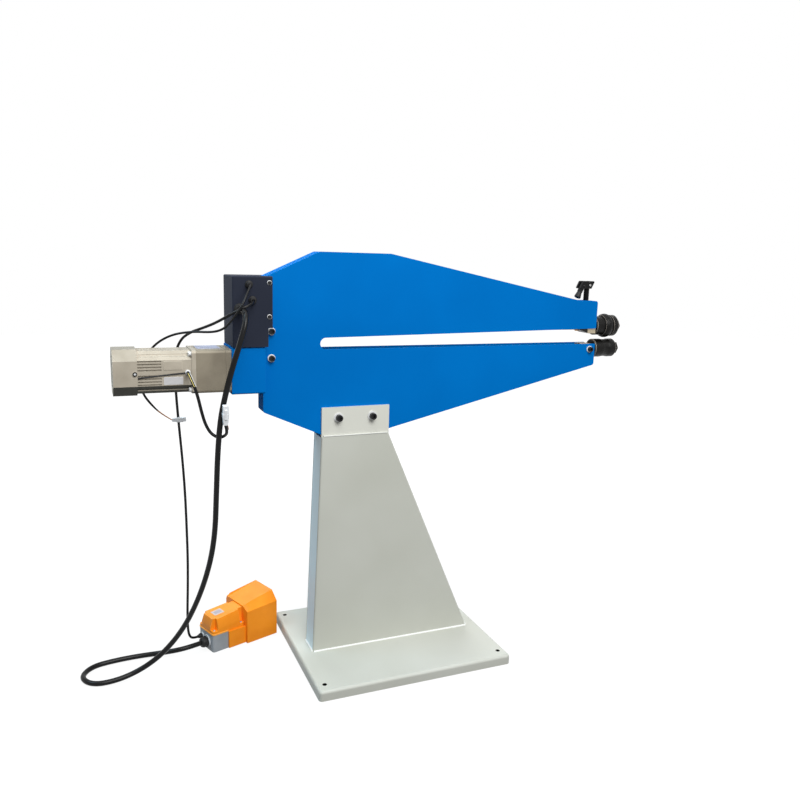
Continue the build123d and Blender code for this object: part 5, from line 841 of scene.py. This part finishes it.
def plate(name, middle, across, upward, width, height, thick, slot, material):
    """Adds a thin plate with rounded corners; sizes in millimetres, facing across x upward."""
    across, upward = across.normalized(), upward.normalized()
    turn = Matrix((across, upward, across.cross(upward))).transposed().to_4x4()
    shape = bmesh.new()
    bmesh.ops.create_grid(shape, x_segments=1, y_segments=1, size=0.5)
    bmesh.ops.scale(shape, vec=mm(width, height, 1), verts=shape.verts)
    bevelled(shape, shape.verts[:], 0.002, 4, "VERTICES")
    thicken(shape, thick)
    rounded(shape, thick / 3000)
    bmesh.ops.transform(shape, matrix=Matrix.Translation(middle) @ turn, verts=shape.verts)
    return add_piece(name, shape, "root", slot, material)


plate("motor_plate", mm(-608, -52.5, 827), X, Z, 46, 19, 0.9, "motor_alloy", plate_silver)
plate("motor_pad", mm(-609, -52.5, 865), X, Z, 44, 22, 1.4, "motor_alloy", motor_alloy)
plate("gearbox_plate", mm(-518, 6, 901.5), X, Y, 58, 66, 0.8, "motor_alloy", plate_cool)

# %% [markdown]
# ## Screws of the fan cover
# The fan cover is held by a socket screw on each side. From a distance such a head is a dark ring
# round a bright point, so a thin blackened ring lies on the CAD head.

# %% Screws of the fan cover
screw_rings = bmesh.new()
for side in (NEAR, FAR):
    turned(screw_rings, mm(-698, side * 59.8, MOTOR_Z), Y * side,
           [(2.8, 0), (5.4, 0), (5.4, 0.5), (2.8, 0.5)])
add_piece("fan_cover_screw_rings", screw_rings, "root", "black_bolt")

# %% [markdown]
# ## Label of the foot switch
# The lid carries a label plate on its sloping top, also left blank: a pale plate with a smaller, darker
# field on it. The switch stands turned on the floor, so one matrix takes its details there.

# %% Label of the foot switch
PEDAL = Matrix.Translation(mm(-500, 100, 0)) @ Matrix.Rotation(radians(20), 4, "Z")
LID_RISE = Vector((104, 0, 11))  # lid's top, towards the hood
uphill = PEDAL.to_3x3() @ LID_RISE
sideways = PEDAL.to_3x3() @ Y
label_edge = finish("label_edge", PAINT, ("BEB4AC", "C8BEB6"), (0.4, 0.5), 0.05)
label_face = finish("label_face", PAINT, ("9D96A0", "A7A0AA"), (0.4, 0.5), 0.05)
plate("lid_plate", PEDAL @ mm(38, 42, 100.05), uphill, sideways, 31, 28, 0.6, "plug_plastic", label_edge)
plate("lid_plate_face", PEDAL @ mm(38, 42, 100.6), uphill, sideways, 21, 16, 0.3, "plug_plastic",
      label_face)

# %% [markdown]
# ## Lid of the foot switch
# Four screws sit down in the lid's corner pockets, and a lip runs round its foot. A screw is a spun
# head with two thin blocks crossed on it, and the lip is a flat sheet with its rear corners rounded.

# %% Lid of the foot switch
CROSS_TURN = 0.6


def block(shape, size, middle):
    """Adds a block to a bmesh, by its size and middle in millimetres; returns its vertices."""
    verts = bmesh.ops.create_cube(shape, size=1)["verts"]
    bmesh.ops.scale(shape, vec=mm(*size), verts=verts)
    bmesh.ops.translate(shape, vec=mm(*middle), verts=verts)
    return verts


lid_screws = bmesh.new()
for u in (8, 96):
    for v in (8, 74):
        foot = PEDAL @ mm(u, v, 64)
        turned(lid_screws, foot, Z, [(0, -0.5), (3.8, -0.5), (3.8, 0.8), (2.8, 1.9), (0, 2.3)], 24)
        for turn in (0, pi / 2):
            slot = block(lid_screws, (4, 0.8, 0.5), (0, 0, 2.2))
            bmesh.ops.rotate(lid_screws, matrix=Matrix.Rotation(turn + CROSS_TURN, 3, "Z"), verts=slot)
            bmesh.ops.translate(lid_screws, vec=foot, verts=slot)
add_piece("lid_screws", lid_screws, "root", "plain_steel")

lip = bmesh.new()
bmesh.ops.create_grid(lip, x_segments=1, y_segments=1, size=0.5)
bmesh.ops.scale(lip, vec=mm(49.5, 84.4, 1), verts=lip.verts)
bmesh.ops.translate(lip, vec=mm(23.5, 41, 52.2), verts=lip.verts)
rear_corners = [vert for vert in lip.verts if vert.co.x < 0.01]
bevelled(lip, rear_corners, 0.007, 5, "VERTICES")
thicken(lip, 4.5)
rounded(lip, 0.0009)
# painted highlight: the whole lip takes the paler corner colour, a bright line round the lid's foot
for face in lip.faces:
    face[lip.faces.layers.float["rim"]] = 1.0
bmesh.ops.transform(lip, matrix=PEDAL, verts=lip.verts)
add_piece("lid_lip", lip, "root", "pedal_cover")

# %% [markdown]
# ## Hood of the foot switch
# The hood is a casting with generous radii, and its roof meets the lid with only a small step. The CAD
# solid has sharp corners and a taller step, so a merged copy has the roof's rear edge lowered, its
# long outer corners bevelled wide, and the rest bevelled fine.

# %% Hood of the foot switch
ROOF_DROP = 5.0
ROOF_REAR_X, ROOF_Z = 0.11, 0.105  # in the switch's own frame, as the two limits below
LONG_BEFORE_X, LONG_FROM_Z = 0.1055, 0.06
HOOD_RADIUS = 0.0035
hood = merged_copy("pedal_hood")
bmesh.ops.transform(hood, matrix=PEDAL.inverted(), verts=hood.verts)
roof_rear = [vert for vert in hood.verts if vert.co.x < ROOF_REAR_X and vert.co.z > ROOF_Z]
bmesh.ops.translate(hood, vec=mm(0, 0, -ROOF_DROP), verts=roof_rear)
long_corners = [
    edge for edge in hood.edges
    if edge.is_manifold and edge.is_convex and edge.calc_face_angle() > CORNER / 2
    and min(vert.co.x for vert in edge.verts) < LONG_BEFORE_X
    and max(vert.co.z for vert in edge.verts) > LONG_FROM_Z
]
bevelled(hood, long_corners, HOOD_RADIUS, 4)
rounded(hood, 0.0008)
bmesh.ops.transform(hood, matrix=PEDAL, verts=hood.verts)
print("roof corners lowered:", len(roof_rear), "long corners:", len(long_corners))
add_piece("pedal_hood_soft", hood, "root", "pedal_cover", replaced=("pedal_hood",))

# %% [markdown]
# ## Cable glands
# Each cable enters through a gland: a hexagon that is screwed into the wall and a domed nut that
# squeezes the jacket. The hexagon is a six-sided cone operator with bevelled corners, and the dome is
# spun. On the control cover the entries are ribbed rubber sleeves that taper towards the cable.

# %% Cable glands


def hexagon(shape, foot, axis, radius, height):
    """Adds a six-sided nut with bevelled corners to a bmesh; sizes in millimetres."""
    axis = axis.normalized()
    turn = axis.to_track_quat("Z", "X").to_matrix().to_4x4()
    place = Matrix.Translation(foot + axis * height / 2000) @ turn
    corners = bmesh.ops.create_cone(shape, cap_ends=True, segments=6, radius1=radius / 1000,
                                    radius2=radius / 1000, depth=height / 1000, matrix=place)["verts"]
    bevelled(shape, list(dict.fromkeys(edge for vert in corners for edge in vert.link_edges)), 0.0008, 2)


out = PEDAL.to_3x3() @ -X
pedal_nuts = bmesh.new()
collars = bmesh.new()
for v, z, cable_r, nut_r, length in ((34, 25, 7, 16.5, 22), (62, 32, 3.5, 8, 16)):
    wall = PEDAL @ mm(0, v, z)
    hexagon(pedal_nuts, wall + out * 0.003, out, nut_r, 6)
    dome = [
        (cable_r - 0.5, 8), (nut_r - 1.2, 8), (nut_r - 1.2, length * 0.62), (nut_r - 2.4, length * 0.8),
        (nut_r - 4.2, length * 0.94), (cable_r + 1.2, length), (cable_r - 0.5, length),
    ]
    turned(pedal_nuts, wall, out, dome)
    turned(collars, wall, out,
           [(0, -1), (nut_r + 2, -1), (nut_r + 2, 2.6), (nut_r + 1.4, 3.2), (0, 3.2)])
add_piece("pedal_gland_nuts", pedal_nuts, "root", "gland_plastic", replaced=("pedal_glands",))
add_piece("pedal_gland_collars", collars, "root", "pedal_casting", material=collar_grey)

sleeves = bmesh.new()
for x, z, cable_r in ((-447, 1004, 7), (-414, 1026, 3.5), (-423, 1065, 3)):
    r = cable_r + 5.5
    turned(sleeves, mm(x, -62.5, z), -Y, [
        (cable_r - 0.5, -2), (r - 2.5, -2), (r - 2.5, 0), (r + 1.2, 0), (r + 1.2, 2.2), (r + 0.6, 3),
        (r - 0.4, 3.2), (r - 0.5, 5.4), (r - 1.4, 5.8), (r - 1.4, 7), (r - 0.8, 7.4), (r - 0.9, 9.2),
        (r - 1.8, 9.6), (r - 1.8, 10.8), (r - 1.2, 11.2), (r - 1.4, 13.2), (r - 2.2, 14),
        (cable_r - 0.5, 14),
    ])
add_piece("cover_gland_sleeves", sleeves, "root", "gland_plastic", replaced=("cable_glands",))
grommet = bmesh.new()
turned(grommet, mm(-574, -52.5, MOTOR_Z), -Y,
       [(3.5, -4), (5, -4), (5, 0), (6.6, 0), (6.6, 2), (5.8, 3.4), (4.6, 4), (3.5, 4)])
add_piece("motor_grommet", grommet, "root", "plug_plastic", replaced=("cable_glands",))

# %% [markdown]
# ## Plugs
# The two short leads end in white nylon plugs: a square shell that narrows at the cable, a slimmer nose
# and a latch on one side. Inset and extrude draw the nose out of the shell's end face.

# %% Plugs


def nylon_plug(name, foot, direction, width, length):
    """Two-part plug shell with a latch, standing on foot and pointing along direction."""
    shape = bmesh.new()
    shell = block(shape, (width, width, length * 0.58), (0, 0, length * 0.29))
    entry = [vert for vert in shell if vert.co.z < 0.001]
    bmesh.ops.scale(shape, vec=(0.7, 0.7, 1), verts=entry)
    top = next(face for face in shape.faces if face.normal.z > 0.9)
    bmesh.ops.inset_region(shape, faces=[top], thickness=width * 0.1 / 1000, depth=0)
    nose = bmesh.ops.extrude_face_region(shape, geom=[top])["geom"]
    bmesh.ops.translate(shape, vec=mm(0, 0, length * 0.42), verts=only(BMVert, nose))
    block(shape, (width * 0.4, width * 0.16, length * 0.5), (0, -width * 0.5, length * 0.55))  # latch
    bmesh.ops.recalc_face_normals(shape, faces=shape.faces)
    rounded(shape, width * 0.06 / 1000)
    turn = Vector(direction).to_track_quat("Z", "Y").to_matrix().to_4x4()
    bmesh.ops.transform(shape, matrix=Matrix.Translation(foot) @ turn, verts=shape.verts)
    return add_piece(name, shape, "root", "plug_plastic", replaced=("lead_plugs",))


motor_plug = nylon_plug("motor_plug", mm(-500.5, -151.5, 730.5), (0, -2, 20), 16, 50)
lead_plug = nylon_plug("sensor_plug", mm(-600, 81, 700), (30, -4, 1), 12, 36)

# %% [markdown]
# ## Wires
# Thin coloured wires show where a jacket stops short, at the motor's plug and at its grommet, and the
# fan's lead is held straight along the motor. A wire this thin is a curve with a round bevel.

# %% Wires
BARE_SHARE = 0.5  # bare wires, of their jacket's diameter


def tube(name, points, diameter, skin, fineness=2, steps=12, bare=0):
    """Round tube on a NURBS curve, in millimetres; the last few points, as bare counts, are thinner."""
    line = bpy.data.curves.new(name, "CURVE")
    line.dimensions = "3D"
    line.bevel_depth = diameter / 2000
    line.bevel_resolution = fineness
    line.resolution_u = steps
    line.use_fill_caps = True
    line.materials.append(skin)
    spline = line.splines.new("NURBS")
    spline.points.add(len(points) - 1)
    for knot, point in zip(spline.points, points):
        knot.co = (*mm(*point), 1)
    for knot in spline.points[len(points) - bare:]:
        knot.radius = BARE_SHARE
    spline.order_u = 3
    spline.use_endpoint_u = True
    made = bpy.data.objects.new(name, line)
    scene.collection.objects.link(made)
    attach(made, "root")
    return made


def thin_wire(name, colour, points, diameter=1.6):
    """Short wire with a skin of one colour."""
    skin = finish(name + "_skin", PAINT, (colour, colour), (0.4, 0.5), 0.05, specular=0.3)
    return tube(name, points, diameter, skin)


thin_wire("motor_wire_yellow", "E2CF7A", [
    (-576, -56, 848), (-576.5, -80, 849), (-571, -95, 833), (-565, -99.5, 818),
])
thin_wire("motor_wire_white", "D9D9D4", [
    (-572, -56, 848), (-572, -81, 850), (-567, -96, 834), (-561, -100, 818),
])
thin_wire("plug_wire_orange", "B8642A", [
    (-491.5, -139, 716), (-492.5, -146, 722), (-495, -150, 729), (-498, -151.5, 738),
])
fan_wire = thin_wire("fan_supply_wire", "17171A", [
    (-691.7, -54.6, 836), (-655, -54.6, 839.5), (-617, -54.6, 843), (-580, -54.6, 846),
], 3.6)
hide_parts("fan_lead")
print("curves:", len(bpy.data.curves))

# %% [markdown]
# ## Cables
# Four cables hang free: a thick one that falls to the floor, loops and enters the foot switch, a thin
# one that goes over the motor and down to the foot switch, and two short leads with white plugs.
# A cable sags in one smooth line, so each is a NURBS curve whose control points follow the CAD route.
# The jacket of the sensor lead stops short of its plug, where the bare wires are thinner and paler.

# %% Cables
BARE_BELOW_Z = 0.727  # sensor lead, at its plug
sensor_jacket, tree, place = second_coat(cable_jacket, "sensor_jacket")
lay_over(sensor_jacket, below(tree, along(tree, place, (0, 0, 1)), BARE_BELOW_Z), "C98F66")


def cable(name, node, points, diameter, jacket=cable_jacket, bare=0):
    """Hanging cable through points in millimetres, for a CAD node."""
    made = tube(name, points, diameter, jacket, fineness=5, steps=10, bare=bare)
    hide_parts(node)
    print(name, "points", len(points))


cable("thick_cable", "pedal_cable", [
    (-447, -76.5, 1004), (-445, -112, 1007), (-445, -140, 983), (-460, -147, 935), (-478, -146, 880),
    (-496, -141, 812), (-510, -133, 740), (-516, -123, 650), (-519, -112, 540), (-521, -97, 440),
    (-532, -78, 350), (-556, -48, 250), (-592, -10, 150), (-643, 22, 70), (-700, 40, 22),
    (-765, 29, 7.5), (-827, 28, 7.5), (-856, 77, 7.5), (-827, 125, 7.5), (-770, 138, 7.5),
    (-705, 142, 7.5), (-650, 134, 10), (-602, 111, 22), (-564.25, 112.8, 25), (-532.3, 124.43, 25),
], 14)
cable("thin_cable", "signal_cable", [
    (-414, -76.5, 1026), (-416, -90, 1025), (-429, -108, 1017), (-452, -112, 1007), (-477, -96, 992),
    (-503, -58, 970), (-530, -18, 953), (-556, 20, 939), (-578, 55, 916), (-591, 79, 868),
    (-588, 91, 785), (-582, 95, 690), (-574, 100, 590), (-568, 108, 490), (-565, 116, 390),
    (-563, 123, 290), (-564, 130, 200), (-566, 135, 130), (-566, 138, 80), (-563, 141, 48),
    (-553, 146.68, 32), (-536.24, 152.79, 32),
], 7)
cable("sensor_lead", "tacho_cable", [
    (-423, -76.5, 1065), (-425, -92, 1063), (-436, -113, 1047), (-450, -128, 1022), (-464, -127, 999),
    (-478, -110, 975), (-492, -84, 955), (-513, -52, 945), (-556, -4, 943), (-602, 40, 931),
    (-642, 70, 902), (-668, 88, 858), (-678, 94, 810), (-671, 92, 772), (-652, 89, 744),
    (-628, 85, 718), (-600, 81, 700),
], 6, sensor_jacket, bare=2)
cable("motor_supply_lead", "motor_lead", [
    (-574, -56.5, 847), (-574, -76.5, 847), (-568, -92, 829), (-557, -96, 794), (-549, -99, 754),
    (-541, -102, 724), (-529, -107, 701), (-511, -113, 690), (-497, -123, 697), (-495, -145, 712),
    (-500.5, -151.5, 731),
], 8)

# %% [markdown]
# ## Dials on the far wall
# A speed knob and a direction selector sit on the wall that the operator faces. Short ticks round them
# show how far they turn, with no lettering, and a white bar on each shows where it stands. One tick is
# a thin block, and it is copied round the axis. The bars ride with the knob and the selector.

# %% Dials on the far wall
WALL_Y = 62.5
ticks = bmesh.new()
for centre_z, reach, count, inner, outer in ((1057, 135, 11, 15, 18.5), (1021, 45, 3, 13.5, 16.5)):
    for step in range(count):
        angle = radians(-reach + 2 * reach * step / (count - 1))
        tick = block(ticks, (0.9, 0.5, outer - inner), (0, 0.1, (inner + outer) / 2))
        bmesh.ops.rotate(ticks, cent=(0, 0, 0), matrix=Matrix.Rotation(angle, 3, "Y"), verts=tick)
        bmesh.ops.translate(ticks, vec=mm(-423, WALL_Y, centre_z), verts=tick)
add_piece("dial_ticks", ticks, "root", "plug_plastic")
for node, body in (("speed_knob", "knob"), ("direction_selector", "selector")):
    low, high = (Vector(corner) * 1000 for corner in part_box(node))
    middle, reach = (low + high) / 2, (high.x - low.x) / 2
    bar = bmesh.new()
    block(bar, (1.4, 0.8, reach * 0.5), (middle.x, high.y, middle.z + reach * 0.6))
    add_piece(node + "_bar", bar, body, "plug_plastic")
